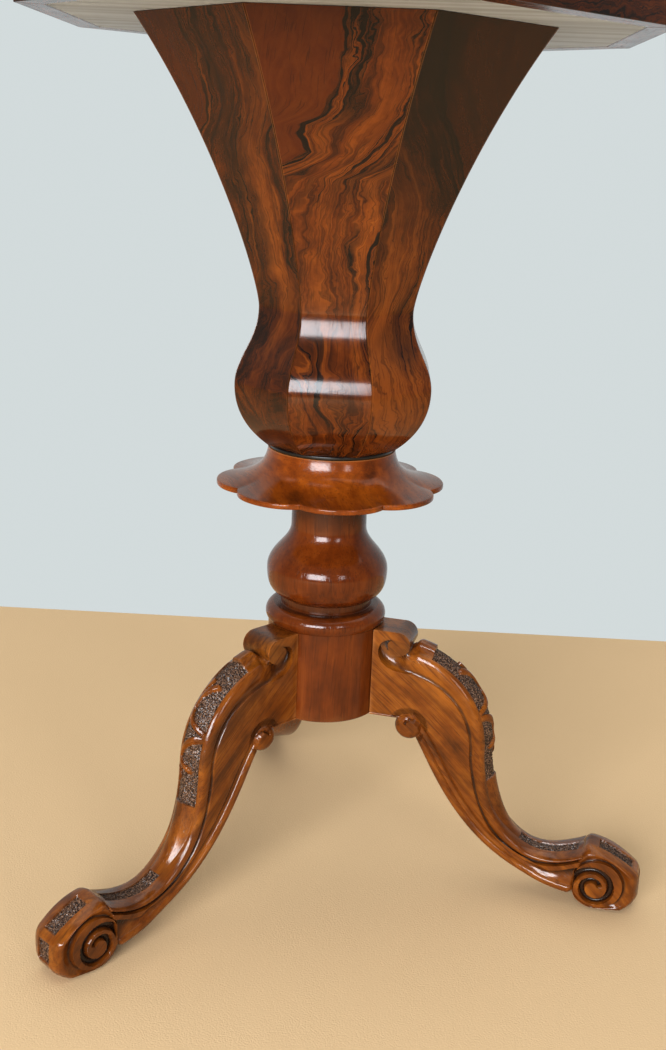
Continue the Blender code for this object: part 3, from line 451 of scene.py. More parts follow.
def octagon_block(flat, low, high):
    """A closed octagonal block with a face towards +X."""
    bm = rod(to_corner(flat), high - low, FACETS)
    bmesh.ops.rotate(bm, verts=bm.verts, cent=(0, 0, 0), matrix=Matrix.Rotation(HALF_FACET, 3, "Z"))
    bmesh.ops.translate(bm, verts=bm.verts, vec=(0, 0, (low + high) / 2))
    return bm


def to_mesh(bm, name="work"):
    """Turn a bmesh into a mesh."""
    mesh = bpy.data.meshes.new(name)
    bm.to_mesh(mesh)
    bm.free()
    return mesh


def combined(base, tools, operation, solver="EXACT"):
    """The base mesh after a Boolean with each tool mesh in turn."""
    scene = bpy.context.scene
    works = [bpy.data.objects.new("work", mesh) for mesh in [base] + tools]
    for work in works:
        scene.collection.objects.link(work)
    for tool in works[1:]:
        modifier = works[0].modifiers.new("combine", "BOOLEAN")
        modifier.operation = operation
        modifier.solver = solver
        modifier.object = tool
    graph = bpy.context.evaluated_depsgraph_get()
    result = bpy.data.meshes.new_from_object(works[0].evaluated_get(graph))
    for work in works:
        bpy.data.objects.remove(work, do_unlink=True)
    if not result.polygons:
        raise RuntimeError("a Boolean left nothing of " + base.name)
    return result


def values_of(rows, name, width=1, kind=float):
    """One value, or a few, of every row of a mesh's data as an array."""
    flat = np.empty(len(rows) * width, dtype=kind)
    rows.foreach_get(name, flat)
    return flat.reshape(-1, width) if width > 1 else flat


def points_of(mesh):
    """The places of a mesh's points as an array."""
    return values_of(mesh.vertices, "co", 3)


def mark_grain(mesh, along, shift):
    """Store each point in the wood's own frame: the fibres run along its third axis."""
    along = Vector(along).normalized()
    side = Vector((0, 1, 0)) if abs(along.y) < 0.9 else Vector((1, 0, 0))
    across = side.cross(along).normalized()
    turn = np.array([across, along.cross(across), along])
    local = points_of(mesh) @ turn.T + np.array(shift)
    layer = mesh.attributes.new("grain", "FLOAT_VECTOR", "POINT")
    layer.data.foreach_set("vector", local.ravel())


def mark_hollows(mesh, rounds):
    """Store how far each point lies in a hollow, above zero, or on an edge, below zero."""
    count = len(mesh.vertices)
    places = points_of(mesh)
    normals = values_of(mesh.vertex_normals, "vector", 3)
    a, b = values_of(mesh.edges, "vertices", 2, np.int32).T
    step = places[b] - places[a]
    length = np.maximum(np.linalg.norm(step, axis=1), 1e-9)
    rise_a = (step * normals[a]).sum(axis=1) / length
    rise_b = -(step * normals[b]).sum(axis=1) / length
    edges = np.maximum(np.bincount(a, minlength=count) + np.bincount(b, minlength=count), 1)
    value = (np.bincount(a, rise_a, count) + np.bincount(b, rise_b, count)) / edges
    for _ in range(rounds):
        spread = np.bincount(a, value[b], count) + np.bincount(b, value[a], count)
        value = (value + spread / edges) / 2
    layer = mesh.attributes.new("hollow", "FLOAT", "POINT")
    layer.data.foreach_set("value", value)


def paint_polish_and_shade(mesh, chosen, depth):
    """Darken the chosen points as if they lay in a hollow, for old polish and for painted shadow.
    """
    layer = mesh.attributes["hollow"].data
    layer.foreach_set("value", np.where(chosen, depth, values_of(layer, "value")))


def add_piece(name, mesh, finishes, nodes, body="table", turn=0.0, sharp=35.0):
    """Place a finished mesh as a piece that stands for some CAD nodes."""
    mesh.name = name
    mesh.shade_smooth()
    mesh.set_sharp_from_angle(angle=math.radians(sharp))
    mesh.transform(Matrix.Translation(AXIS) @ Matrix.Rotation(turn, 4, "Z"))
    choice = values_of(mesh.polygons, "material_index", kind=np.int32)
    mesh.materials.clear()
    for finish in finishes:
        mesh.materials.append(bpy.data.materials[finish])
    mesh.polygons.foreach_set("material_index", np.clip(choice, 0, len(finishes) - 1))
    piece = bpy.data.objects.new(name, mesh)
    bpy.context.scene.collection.objects.link(piece)
    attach(piece, body)
    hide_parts(*nodes)


# Finishes

class Shade:
    """One socket of a material's nodes; arithmetic on it adds Math nodes."""

    def __init__(self, tree, socket=None):
        self.tree = tree
        self.socket = socket

    def feed(self, socket, value):
        """Link or set one input."""
        if isinstance(value, Shade):
            self.tree.links.new(value.socket, socket)
        else:
            socket.default_value = value

    def node(self, kind, settings=None, sockets=None, output=0):
        """Add a node: its settings first, then the values or links of its sockets."""
        node = self.tree.nodes.new("ShaderNode" + kind)
        for name, value in (settings or {}).items():
            if name == "stops":
                while len(node.color_ramp.elements) < len(value):
                    node.color_ramp.elements.new(1.0)
                for stop, (place, colour) in zip(node.color_ramp.elements, value):
                    stop.position = place
                    stop.color = (*colour, 1.0)
            else:
                setattr(node, name, value)
        for key, value in (sockets or {}).items():
            self.feed(node.inputs[key], value)
        return Shade(self.tree, node.outputs[output])

    def _math(self, operation, first, second):
        return self.node("Math", {"operation": operation}, {0: first, 1: second})

    def __add__(self, other):
        return self._math("ADD", self, other)

    def __radd__(self, other):
        return self._math("ADD", other, self)

    def __sub__(self, other):
        return self._math("SUBTRACT", self, other)

    def __rsub__(self, other):
        return self._math("SUBTRACT", other, self)

    def __mul__(self, other):
        return self._math("MULTIPLY", self, other)

    def __rmul__(self, other):
        return self._math("MULTIPLY", other, self)

    def __abs__(self):
        return self._math("ABSOLUTE", self, 0.0)


def stretched(at, scale):
    """Coordinates scaled along each axis."""
    return at.node("Mapping", None, {"Vector": at, "Scale": scale})


def noise(at, scale, detail=2.0, rough=0.5, output="Fac"):
    """Soft noise, with one scale for all axes or one for each."""
    if not isinstance(scale, (int, float)):
        at, scale = stretched(at, scale), 1.0
    sockets = {"Vector": at, "Scale": scale, "Detail": detail, "Roughness": rough}
    return at.node("TexNoise", None, sockets, output)


def rise(value, low, high, bottom=0.0, top=1.0):
    """A soft step of a value between two limits."""
    sockets = {"Value": value, "From Min": low, "From Max": high, "To Min": bottom, "To Max": top}
    return value.node("MapRange", {"interpolation_type": "SMOOTHSTEP"}, sockets)


def mixed(factor, first, second, how="MIX"):
    """Mix two colours."""
    settings = {"data_type": "RGBA", "blend_type": how, "clamp_factor": True}
    tree = next(value for value in (factor, first, second) if isinstance(value, Shade))
    sockets = {0: factor}
    for key, value in ((6, first), (7, second)):
        sockets[key] = value if isinstance(value, Shade) else (*value, 1.0)
    return tree.node("Mix", settings, sockets, 2)


def wandering(at, scale, amount):
    """Coordinates pushed about by noise."""
    push = noise(at, scale, output="Color")
    push = at.node("VectorMath", {"operation": "SUBTRACT"}, {0: push, 1: (0.5, 0.5, 0.5)})
    push = at.node("VectorMath", {"operation": "SCALE"}, {0: push, "Scale": amount})
    return at.node("VectorMath", {"operation": "ADD"}, {0: at, 1: push})


def shades(value, stops):
    """Colours along a value."""
    return value.node("ValToRGB", {"stops": stops}, {"Fac": value})


def bumps(height, depth):
    """A normal from a height of one, as deep as given."""
    return height.node("Bump", None, {"Height": height, "Distance": depth, "Strength": 1.0})


def new_finish(name):
    """A new material and a way to add nodes to it."""
    material = bpy.data.materials.new(name)
    material.use_nodes = True
    return Shade(material.node_tree)


def lay(shade, **sockets):
    """Set the sockets of the material's shader."""
    shader = shade.tree.nodes["Principled BSDF"]
    for key, value in sockets.items():
        shade.feed(shader.inputs[key.replace("_", " ")], value)


def attribute(shade, name, output="Fac"):
    """A value that the mesh stores."""
    return shade.node("Attribute", {"attribute_name": name}, None, output)


def own_place(shade, coordinates):
    """Coordinates in the wood's own frame, or the object's where the mesh stores none."""
    if coordinates == "object":
        return shade.node("TexCoord", None, None, "Object")
    return attribute(shade, "grain", "Vector")


def make_walnut(name, colours, tint, patina_and_shade=1.0, streaks=1.0, polish=0.12, clouds=0.2):
    """Polished walnut: streaks, pores, dark hollows with painted shadow, worn edges, stippled
    ground with painted glints.
    """
    shade = new_finish(name)
    wood = own_place(shade, "grain")
    at = wandering(wood, (7, 7, 3), 0.02)
    at = wandering(at, (45, 45, 12), 0.004)
    streak = noise(at, (48, 48, 3.5), 3.0, 0.6)
    vein = noise(at, (240, 240, 7), 2.0, 0.5)
    fibre = noise(at, (1500, 1500, 36), 1.0, 0.5)
    pore = rise(noise(at, (1150, 1150, 42), 0.0), 0.63, 0.74)
    mottle = noise(wood, (60, 60, 34), 3.0, 0.6)
    lively = ((streak - 0.5) * 0.42 + (vein - 0.5) * 0.22 + (mottle - 0.5) * 0.50
              + (fibre - 0.5) * 0.15)
    tone = 0.5 + lively * streaks
    colour = shades(tone, [(0.36, colours.walnut_dark), (0.49, colours.walnut_mid),
                           (0.64, colours.walnut_light)])
    vein_line = rise(abs(noise(at, (30, 30, 2.2), 2.0) - 0.5), 0.0, 0.030, 0.5, 0.0)
    colour = mixed(vein_line * rise(streak, 0.35, 0.6) * streaks, colour, colours.walnut_dark)
    cloud = rise(noise(at, (34, 34, 13), 4.0, 0.65), 0.50, 0.68)
    colour = mixed(cloud * clouds, colour, colours.walnut_dark)
    colour = mixed(pore * 0.45, colour, colours.walnut_dark)
    colour = mixed(1.0, colour, tint, "MULTIPLY")
    hollow = attribute(shade, "hollow")
    smudge = noise(wood, 55.0, 3.0, 0.6)
    # Old polish in the hollows, and painted shadow where the hollow values were raised for it
    deep = rise(hollow + attribute(shade, "recess") * 0.24 + (smudge - 0.5) * 0.16, 0.05, 0.26)
    colour = mixed(deep * 0.92 * patina_and_shade, colour, colours.patina_and_shade)
    worn = rise(hollow + (smudge - 0.5) * 0.10, -0.10, -0.30)
    colour = mixed(worn * 0.6, colour, colours.worn_edge)
    ground = attribute(shade, "stipple")
    pebble = noise(wood, 950.0, 1.0, 0.6)
    # The punched ground: dark pits, brown grains and painted glints
    pebbled = shades(pebble, [(0.36, colours.patina_and_shade), (0.52, colours.stipple),
                              (0.70, colours.stipple_painted_glint)])
    colour = mixed(ground, colour, pebbled)
    gloss = noise(wood, 35.0, 3.0, 0.6)
    dust = rise(hollow, 0.28, 0.38)
    roughness = polish + gloss * 0.13 + pore * 0.08 + deep * 0.08 + ground * 0.08 + dust * 0.5
    height = fibre * 0.25 - pore * 0.5 + ground * pebble * 6.0
    lay(shade, Base_Color=colour, Roughness=roughness, Normal=bumps(height, 0.00006),
        Specular_IOR_Level=0.42)


def make_veneer(name, colours):
    """Figured veneer: growth lines that crowd at the edge of the figure, beside plain red wood,
    with smoky figure and painted shade and light.
    """
    shade = new_finish(name)
    sheet = attribute(shade, "sheet", "Vector")
    along = shade.node("SeparateXYZ", None, {0: sheet}, "Y")
    swirl = rise(along, 0.150, 0.105)
    broad = wandering(sheet, (10.0, 7.0, 1.0), 0.018 + swirl * 0.10)
    curl = wandering(broad, (40.0, 30.0, 1.0), 0.022)
    at = wandering(curl, (170.0, 120.0, 1.0), 0.0075)
    edge = shade.node("SeparateXYZ", None, {0: at}, "X") + swirl * 0.08
    figured = rise(edge, -0.0010, 0.0016)
    crowd = rise(edge, 0.026, 0.001) * figured
    growth = noise(at, (70.0, 3.4, 1.0), 3.0, 0.65)
    thread = noise(at, (330.0, 7.0, 1.0), 2.0, 0.6)
    fibre = noise(sheet, (1500.0, 45.0, 1.0), 1.0)
    mottle = noise(sheet, (75.0, 60.0, 1.0), 3.0, 0.65)
    # Smoky figure and painted shade where a stave is marked above zero, painted light where it is
    # marked below zero
    smoke = attribute(shade, "smoke")
    tone = growth * 0.46 + thread * 0.22 + mottle * 0.24 + fibre * 0.08 - smoke * 0.1
    wild = shades(tone, [(0.36, colours.veneer_dark), (0.47, colours.veneer_mid),
                         (0.63, colours.veneer_light)])
    quiet = rise(thread * 0.3 + growth * 0.3 + mottle * 0.4, 0.36, 0.64)
    calm = mixed(quiet, colours.veneer_red_and_shade, colours.veneer_mid)
    # Painted shadow of the box: darker and redder towards the top
    painted_shadow_to_top = rise(along, 0.16, 0.29, 0.0, 0.32)
    colour = mixed(painted_shadow_to_top, mixed(figured, calm, wild), colours.veneer_red_and_shade)
    line = rise(abs(noise(at, (85.0, 2.0, 1.0), 1.0) - 0.5), 0.004, 0.034, 1.0, 0.0)
    second = rise(abs(noise(at, (170.0, 3.2, 1.0), 1.0) - 0.48), 0.010, 0.055, 1.0, 0.0)
    strength = rise(noise(curl, (24.0, 10.0, 1.0), 2.0), 0.42, 0.58)
    faint = rise(abs(noise(at, (290.0, 5.0, 1.0), 1.0) - 0.5), 0.0, 0.06, 0.5, 0.0)
    border = rise(abs(edge - 0.0008), 0.0005, 0.0024, 1.0, 0.0)
    border = border * rise(strength, 0.0, 0.6, 0.45, 1.0)
    dark = line * (strength * 0.85 + 0.05) * figured
    dark = dark + second * (crowd * 0.9 + strength * figured * 0.35) + border * 0.9
    dark = dark + faint * (0.12 + figured * 0.75)
    cloud = rise(noise(broad, (19.0, 11.0, 1.0), 3.0, 0.65), 0.50, 0.66)
    colour = mixed(cloud * (0.15 + figured * 0.40), colour, colours.veneer_dark)
    colour = mixed(dark, colour, colours.veneer_line)
    # Smoky figure and painted shade laid over the marked parts
    colour = mixed(smoke * (0.70 + cloud * 0.30), colour, colours.veneer_smoke_and_shade)
    pore = rise(noise(sheet, (1100.0, 60.0, 1.0), 0.0), 0.66, 0.76)
    colour = mixed(pore * 0.35, colour, colours.veneer_line)
    worn = rise(attribute(shade, "hollow"), -0.5, -1.0)
    colour = mixed(worn * 0.17, colour, colours.worn_edge)
    gloss = noise(sheet, 30.0, 3.0, 0.6)
    height = fibre * 0.4 - pore * 0.6 + noise(sheet, 28.0, 2.0) * 5.0
    lay(shade, Base_Color=colour, Roughness=0.085 + gloss * 0.10 + pore * 0.05,
        Normal=bumps(height, 0.00003), Specular_IOR_Level=0.40)


def make_softwood(name, colours, coordinates):
    """Bare pine: broad growth bands, fibres and old stains, in colours painted pale and bluish for
    the light on the underside.
    """
    shade = new_finish(name)
    place = own_place(shade, coordinates)
    at = wandering(place, (5, 5, 2), 0.02)
    band = noise(at, (75, 75, 2.2), 2.0, 0.5)
    fibre = noise(at, (900, 900, 26), 2.0)
    stain = noise(place, 9.0, 4.0, 0.6)
    colour = mixed(rise(band, 0.35, 0.68), colours.softwood_painted_blue_light, colours.softwood_bands_painted_blue_light)
    colour = mixed(fibre * 0.35, colour, colours.softwood_bands_painted_blue_light)
    colour = mixed(rise(stain, 0.50, 0.75, 0.0, 0.6), colour, colours.softwood_stains_painted_blue_light)
    lay(shade, Base_Color=colour, Roughness=0.68 + fibre * 0.2,
        Normal=bumps(fibre + band * 0.6, 0.0002))


def make_lining(name, colours):
    """Old lining paper: mottled, with a faint laid texture."""
    shade = new_finish(name)
    place = own_place(shade, "object")
    mottle = noise(place, 14.0, 5.0, 0.65)
    laid = noise(place, (1400, 90, 1400), 1.0)
    colour = mixed(rise(mottle, 0.35, 0.72), colours.paper_light, colours.paper_dark)
    colour = mixed(laid * 0.25, colour, colours.paper_dark)
    lay(shade, Base_Color=colour, Roughness=0.82 + laid * 0.12, Normal=bumps(laid, 0.0001))


def make_ebony(name, colours):
    """Ebonised wood: black polish over faint pores."""
    shade = new_finish(name)
    place = own_place(shade, "object")
    wear = noise(place, 160.0, 4.0, 0.6)
    pore = rise(noise(place, (900, 900, 260), 1.0), 0.60, 0.72)
    colour = mixed(rise(wear, 0.52, 0.80), colours.ebony, colours.patina_and_shade)
    lay(shade, Base_Color=colour, Roughness=0.22 + wear * 0.2, Normal=bumps(1.0 - pore, 0.00005),
        Coat_Weight=0.3, Coat_Roughness=0.1)


def make_brass(name, colours):
    """Aged brass: brushed along its length, with brown tarnish."""
    shade = new_finish(name)
    place = own_place(shade, "object")
    brush = noise(place, (40, 1900, 1900), 1.0)
    tarnish = rise(noise(place, 130.0, 5.0, 0.65), 0.42, 0.68)
    colour = mixed(tarnish * 0.75, colours.brass, colours.brass_tarnish)
    lay(shade, Base_Color=colour, Metallic=1.0, Roughness=0.22 + tarnish * 0.3 + brush * 0.08,
        Normal=bumps(brush, 0.00003))


def make_floor(name, colours):
    """A plain pale floor with a faint unevenness."""
    shade = new_finish(name)
    place = own_place(shade, "object")
    tone = noise(place, 3.0, 3.0, 0.6)
    nap = noise(place, 700.0, 2.0, 0.6)
    colour = mixed(tone * 0.35 + nap * 0.25, colours.floor_light, colours.floor_dark)
    lay(shade, Base_Color=colour, Roughness=0.9, Normal=bumps(nap, 0.0003))


# Trumpet

def trumpet_profile():
    """Centre to face distance and height of the trumpet, from its foot to its rim."""
    points = [TRUMPET_FOOT]
    points += curve(TRUMPET_FOOT, TRUMPET_BULB, FOOT_TO_BULB, 26)
    points += curve(TRUMPET_BULB, TRUMPET_NECK, BULB_TO_NECK, 30)
    points += curve(TRUMPET_NECK, TRUMPET_TOP, NECK_TO_RIM, 44)
    return points


def lay_veneer(bm, place):
    """Store each corner's place on its sheet of veneer: across, along and which sheet."""
    layer = bm.loops.layers.float_vector.new("sheet")
    for face in bm.faces:
        for loop in face.loops:
            loop[layer] = place(loop.vert.co)


# The edge of a figure: places along a stave and across it
FRONT_FIGURE = ((0.10, -0.060), (0.200, -0.058), (0.216, -0.038), (0.226, -0.019), (0.243, -0.025),
                (0.256, -0.004), (0.284, -0.001), (0.33, 0.007))
LEFT_FIGURE = ((0.10, -0.055), (0.220, -0.052), (0.243, -0.030), (0.262, -0.016), (0.29, -0.013),
               (0.33, -0.010))
RIGHT_FIGURE = ((0.10, -0.060), (0.185, -0.055), (0.215, -0.030), (0.245, -0.004), (0.275, 0.022),
                (0.33, 0.050))
# For each stave: the way its figure faces, the smoky figure and painted shade at its foot and top
# (below zero, painted light), and the figure
FIGURES = ((1, (0.1, 0.0), FRONT_FIGURE), (-1, (-0.8, 0.9), RIGHT_FIGURE),
           (1, (0.1, 0.2), LEFT_FIGURE), (-1, (0.2, 0.0), FRONT_FIGURE),
           (1, (0.0, 0.5), RIGHT_FIGURE), (-1, (0.3, 0.0), LEFT_FIGURE),
           (1, (0.1, 0.3), FRONT_FIGURE), (1, (0.35, 0.3), LEFT_FIGURE))
# Runs along a stave over which the smoky figure and painted shade of its foot end and those of its
# top begin
SMOKE_AND_SHADE_ENDS, SMOKE_AND_SHADE_BEGINS = (0.10, 0.16), (0.14, 0.27)
# How far from the edge of the figure its lines run straighter, and the points averaged for that
STRAIGHTER, AVERAGED = (0.004, 0.040), 8
# The step from sheet to sheet, and the first sheets of the frieze, the lid and its border
SHEET_STEP = 1.37
FRIEZE_SHEET, LID_SHEET, BORDER_SHEET = 20, 42, 50
# How much darker the frieze's veneer is made
FRIEZE_DARKENING = 0.35
# Where the sheets of the frieze, the lid and its border begin, across and along, and how much the
# border's is drawn together
FRIEZE_PLACE, LID_PLACE, BORDER_PLACE, BORDER_DRAWN = (0.03, 0.45), (0.075, 0.20), 0.06, 0.8


def stave_mesh(number, sizes):
    """One stave with its own piece of veneer; its inner face is lined with paper."""
    profile = trumpet_profile()
    flats, heights = zip(*profile)
    lengths = lengths_along(profile)
    inner = [(flat - TRUMPET_WALL, height) for flat, height in profile]
    bm = mitred(profile + inner[::-1])

    def at_face(vert):
        return vert.co.x > np.interp(vert.co.z, heights, flats) - TRUMPET_WALL / 4

    def arris(edge):
        a, b = edge.verts
        return at_face(a) and at_face(b) and a.co.y * b.co.y > 0

    ease(bm, sizes.arris_round, 2, arris)
    for share in STAVE_LINES:
        turn = math.atan(share * math.tan(HALF_FACET))
        divide(bm, (0, 0, 0), (-math.sin(turn), math.cos(turn), 0))
    bm.normal_update()
    for face in bm.faces:
        centre = face.calc_center_median()
        middle = np.interp(centre.z, heights, flats) - TRUMPET_WALL / 2
        face.material_index = 0 if centre.x > middle else 1
    way, smoke_and_shade_shares, figure = FIGURES[number]
    edge_runs, edge_places = zip(*through(figure, 6))
    window = 2 * AVERAGED + 1
    averaged = np.convolve(np.pad(edge_places, AVERAGED, mode="edge"), np.full(window, 1 / window),
                           mode="valid")
    smoke = bm.verts.layers.float.new("smoke")
    wear = bm.verts.layers.float.new("hollow")

    def run_to(spot):
        return float(np.interp(spot.z, heights, lengths))

    for vert in bm.verts:
        run = run_to(vert.co)
        # Smoky figure and painted shade at the foot and the top; below zero, painted light
        vert[smoke] = (smoke_and_shade_shares[0] * (1 - smoothstep(run, *SMOKE_AND_SHADE_ENDS))
                       + smoke_and_shade_shares[1] * smoothstep(run, *SMOKE_AND_SHADE_BEGINS))
        vert[wear] = -float(abs(vert.co.y) > RUBBED_FROM * vert.co.x * math.tan(HALF_FACET))

    def place(spot):
        run = run_to(spot)
        edge = float(np.interp(run, edge_runs, edge_places))
        beyond = smoothstep(way * spot.y - edge, *STRAIGHTER)
        edge += (float(np.interp(run, edge_runs, averaged)) - edge) * beyond
        return Vector((way * spot.y - edge, run, SHEET_STEP * number))

    lay_veneer(bm, place)
    return to_mesh(bm)


# Column and collar

def column_profile():
    """Radius and height of the column, from the middle of its foot to the tip of its tenon."""
    half_ring = RING_HEIGHT / 2
    crown = BLOCK_RADIUS + RING_OVERHANG - half_ring
    start = -math.degrees(math.acos(1 - RING_OVERHANG / half_ring))
    fillet = crown - FILLET_STEP
    points = [(0.0, COLUMN_FOOT), (BLOCK_RADIUS - COLUMN_EDGE, COLUMN_FOOT),
              (BLOCK_RADIUS, COLUMN_FOOT + COLUMN_EDGE)]
    points += arc((crown, BLOCK_TOP + half_ring), half_ring, start, 90, 28)
    points += [(fillet + FILLET_EDGE, RING_TOP), (fillet, RING_TOP + FILLET_CORNER),
               (fillet, FILLET_TOP - FILLET_EDGE), (fillet + FILLET_EDGE, FILLET_TOP)]
    points += curve((fillet, FILLET_TOP), BELLY, FILLET_TO_BELLY, 26)[1:]
    points += curve(BELLY, WAIST, BELLY_TO_WAIST, 32)
    points += curve(WAIST, (NECK_RADIUS, COLLAR_SEAT), WAIST_TO_NECK, 14)
    tip = FOOT_LEVEL + TENON_GRIP
    points += [(TENON_RADIUS, COLLAR_SEAT), (TENON_RADIUS, tip), (0.0, tip)]
    return points


def tongue(clearance, low, high):
    """A dovetail tongue along +X, grown by a clearance."""
    tip = BLOCK_RADIUS - TONGUE_LENGTH - clearance
    root = BLOCK_RADIUS + LEG_HALF / 2
    slope = (TONGUE_TIP - TONGUE_ROOT) / 2 / TONGUE_LENGTH
    root_half = TONGUE_ROOT / 2 - slope * (root - BLOCK_RADIUS) + clearance
    tip_half = TONGUE_TIP / 2 + slope * clearance + clearance
    bm = cuboid((tip, -1, low), (root, 1, high))
    for vert in bm.verts:
        half = tip_half if vert.co.x < (tip + root) / 2 else root_half
        vert.co.y = math.copysign(half, vert.co.y)
    return to_mesh(bm)


def column_mesh():
    """The turned column with its three dovetail housings."""
    column = to_mesh(spun(column_profile(), TURNING_STEPS))
    housings = []
    for turn in LEG_TURNS:
        housing = tongue(GAP, COLUMN_FOOT - BLOCK_RADIUS, BLOCK_TOP - TONGUE_STOP + GAP)
        housing.transform(Matrix.Rotation(turn, 4, "Z"))
        housings.append(housing)
    return combined(column, housings, "DIFFERENCE")


def collar_mesh():
    """The collar: a hollow flare drawn out to a thin scalloped rim."""
    bore = TENON_RADIUS + GAP
    rim_top = COLLAR_FOOT + COLLAR_RIM
    round_over = COLLAR_RIM / 3
    rim = COLLAR_RADIUS - round_over
    section = [(COLLAR_TOP_RADIUS, COLLAR_TOP)]
    section += curve(section[0], (rim, rim_top), COLLAR_FLARE, 34)
    section += arc((rim, rim_top - round_over), round_over, 90, 0, 5)[1:]
    section += arc((rim, COLLAR_FOOT + round_over), round_over, 0, -90, 5)
    section += [(COLLAR_RADIUS * share, COLLAR_FOOT) for share in (0.94, 0.88, 0.8, 0.7)]
    section += [(bore, COLLAR_FOOT), (bore, COLLAR_TOP)]
    bm = spun(section, LOBES * LOBE_STEPS, closed=True)
    pitch = 2 * math.pi / LOBES
    for vert in bm.verts:
        radius = math.hypot(vert.co.x, vert.co.y)
        share = max(0.0, (radius - COLLAR_TOP_RADIUS) / (COLLAR_RADIUS - COLLAR_TOP_RADIUS))
        across = ((math.atan2(vert.co.y, vert.co.x) + pitch / 2) % pitch) / pitch * 2 - 1
        reach = radius - LOBE_DEPTH * abs(across) ** LOBE_FULLNESS * share ** 2
        vert.co.x *= reach / radius
        vert.co.y *= reach / radius
    return to_mesh(bm)


# Legs

# A section across a leg: the middle of its top and of its underside, the depth of its moulded edge,
# half its panel, how far the panel falls and swells, and the shares of bead and hollow
Station = namedtuple("Station", "top foot edge panel fall crown bead throat")
EDGE_ROW = through(MOULDING, 2)
FOOT_EDGE_ROW = through(FOOT_MOULDING, 2)
THROAT_DROPS, THROAT_SHARES = zip(*reversed(THROAT))


def between(first, second, share):
    """The place of a share of the way from one row of numbers to another."""
    return tuple(a + (b - a) * share for a, b in zip(first, second))


def throat_share(out):
    """How far the moulded edge gives way to the hollow under the roll."""
    return 1 - smoothstep(out - BLOCK_RADIUS, *THROAT_FADE)


def along_row(row, number, part):
    """A value between one number of a row and the next."""
    return row[number] * (1 - part) + row[number + 1] * part


def leg_stations():
    """Sections along a leg, from inside the block to the instep."""
    stations = []
    throat = ROLL.x + THROAT_LINE[0][0]
    for out in (BLOCK_RADIUS - LEG_HALF / 2, throat - QUIRK / 2):
        stations.append(Station((out, HEAD_TOP), (out, COLUMN_FOOT), QUIRK, LEG_HALF - 2 * QUIRK,
                                0.0, 0.0, 0.0, 0.0))
    core = HEAD_TOP - QUIRK - ROLL.y
    for out, height in through(THROAT_LINE, 7)[:-1]:
        panel, fall = between((THROAT_HALF, 0.0), TABLET_PANEL, smoothstep(out, -0.004, 0.009))
        top = core + (UNDER_ROLL - core) * smoothstep(out, -0.001, 0.0095)
        place = ROLL.x + out
        stations.append(Station((place, ROLL.y + top), (place, COLUMN_FOOT), top - height, panel,
                                fall, 0.0, 0.0, throat_share(place)))
    spans = ((SHOULDER, KNEE, SHOULDER_TO_KNEE, 160), (KNEE, ANKLE, KNEE_TO_ANKLE, 112),
             (ANKLE, INSTEP, ANKLE_TO_INSTEP, 44))
    under = [tuple(KNEE_SCROLL)] + curve(KNEE_SCROLL, HEEL, UNDERSIDE_RUN, UNDERSIDE_STEPS)
    for number, (start, end, bend, steps) in enumerate(spans):
        tops = ([start] if number == 0 else []) + curve(start, end, bend, steps)
        for k, top in enumerate(tops):
            part = (k if number == 0 else k + 1) / steps
            foot = under[round(along_row(UNDERSIDE_SHARES, number, part) * UNDERSIDE_STEPS)]
            edge = along_row(EDGE_DEPTHS, number, part)
            if number == 0:
                panel, fall = between(TABLET_PANEL, KNEE_PANEL, smoothstep(part, 0.15, 0.5))
            else:
                share = smoothstep(number - 1 + part, 0.35, 0.80)
                panel, fall = between(KNEE_PANEL, ANKLE_PANEL, share)
            crown = CROWN * smoothstep(number + part, 0.0, 0.06)
            crown *= 1 - smoothstep(number - 2 + part, 0.3, 0.9)
            stations.append(Station(top, foot, edge, panel, fall, crown, 1.0, throat_share(top[0])))
    return stations


# Middle lines of the carved straps: shares of the way along the panel and of half its width
STRAP_LINES = (
    ((0.215, 0.36), (0.255, -0.06), (0.31, -0.50), (0.375, -0.70), (0.43, -0.60), (0.472, -0.18),
     (0.500, 0.42), (0.515, 1.15)),
    ((0.540, 1.15), (0.562, 0.58), (0.60, 0.06), (0.65, -0.44), (0.70, -0.66), (0.738, -0.46),
     (0.758, -0.02), (0.775, 0.40)),
    ((0.185, -0.40), (0.22, -0.62), (0.26, -0.84), (0.31, -1.0)),
    ((0.775, -0.90), (0.80, -0.62), (0.83, -0.58), (0.865, -0.85)),
)


def punched(sizes, draw):
    """Height and stipple of a point of the punched ground."""
    return -sizes.panel_sink + (draw.random() - 0.5) * sizes.stipple_depth, 1.0


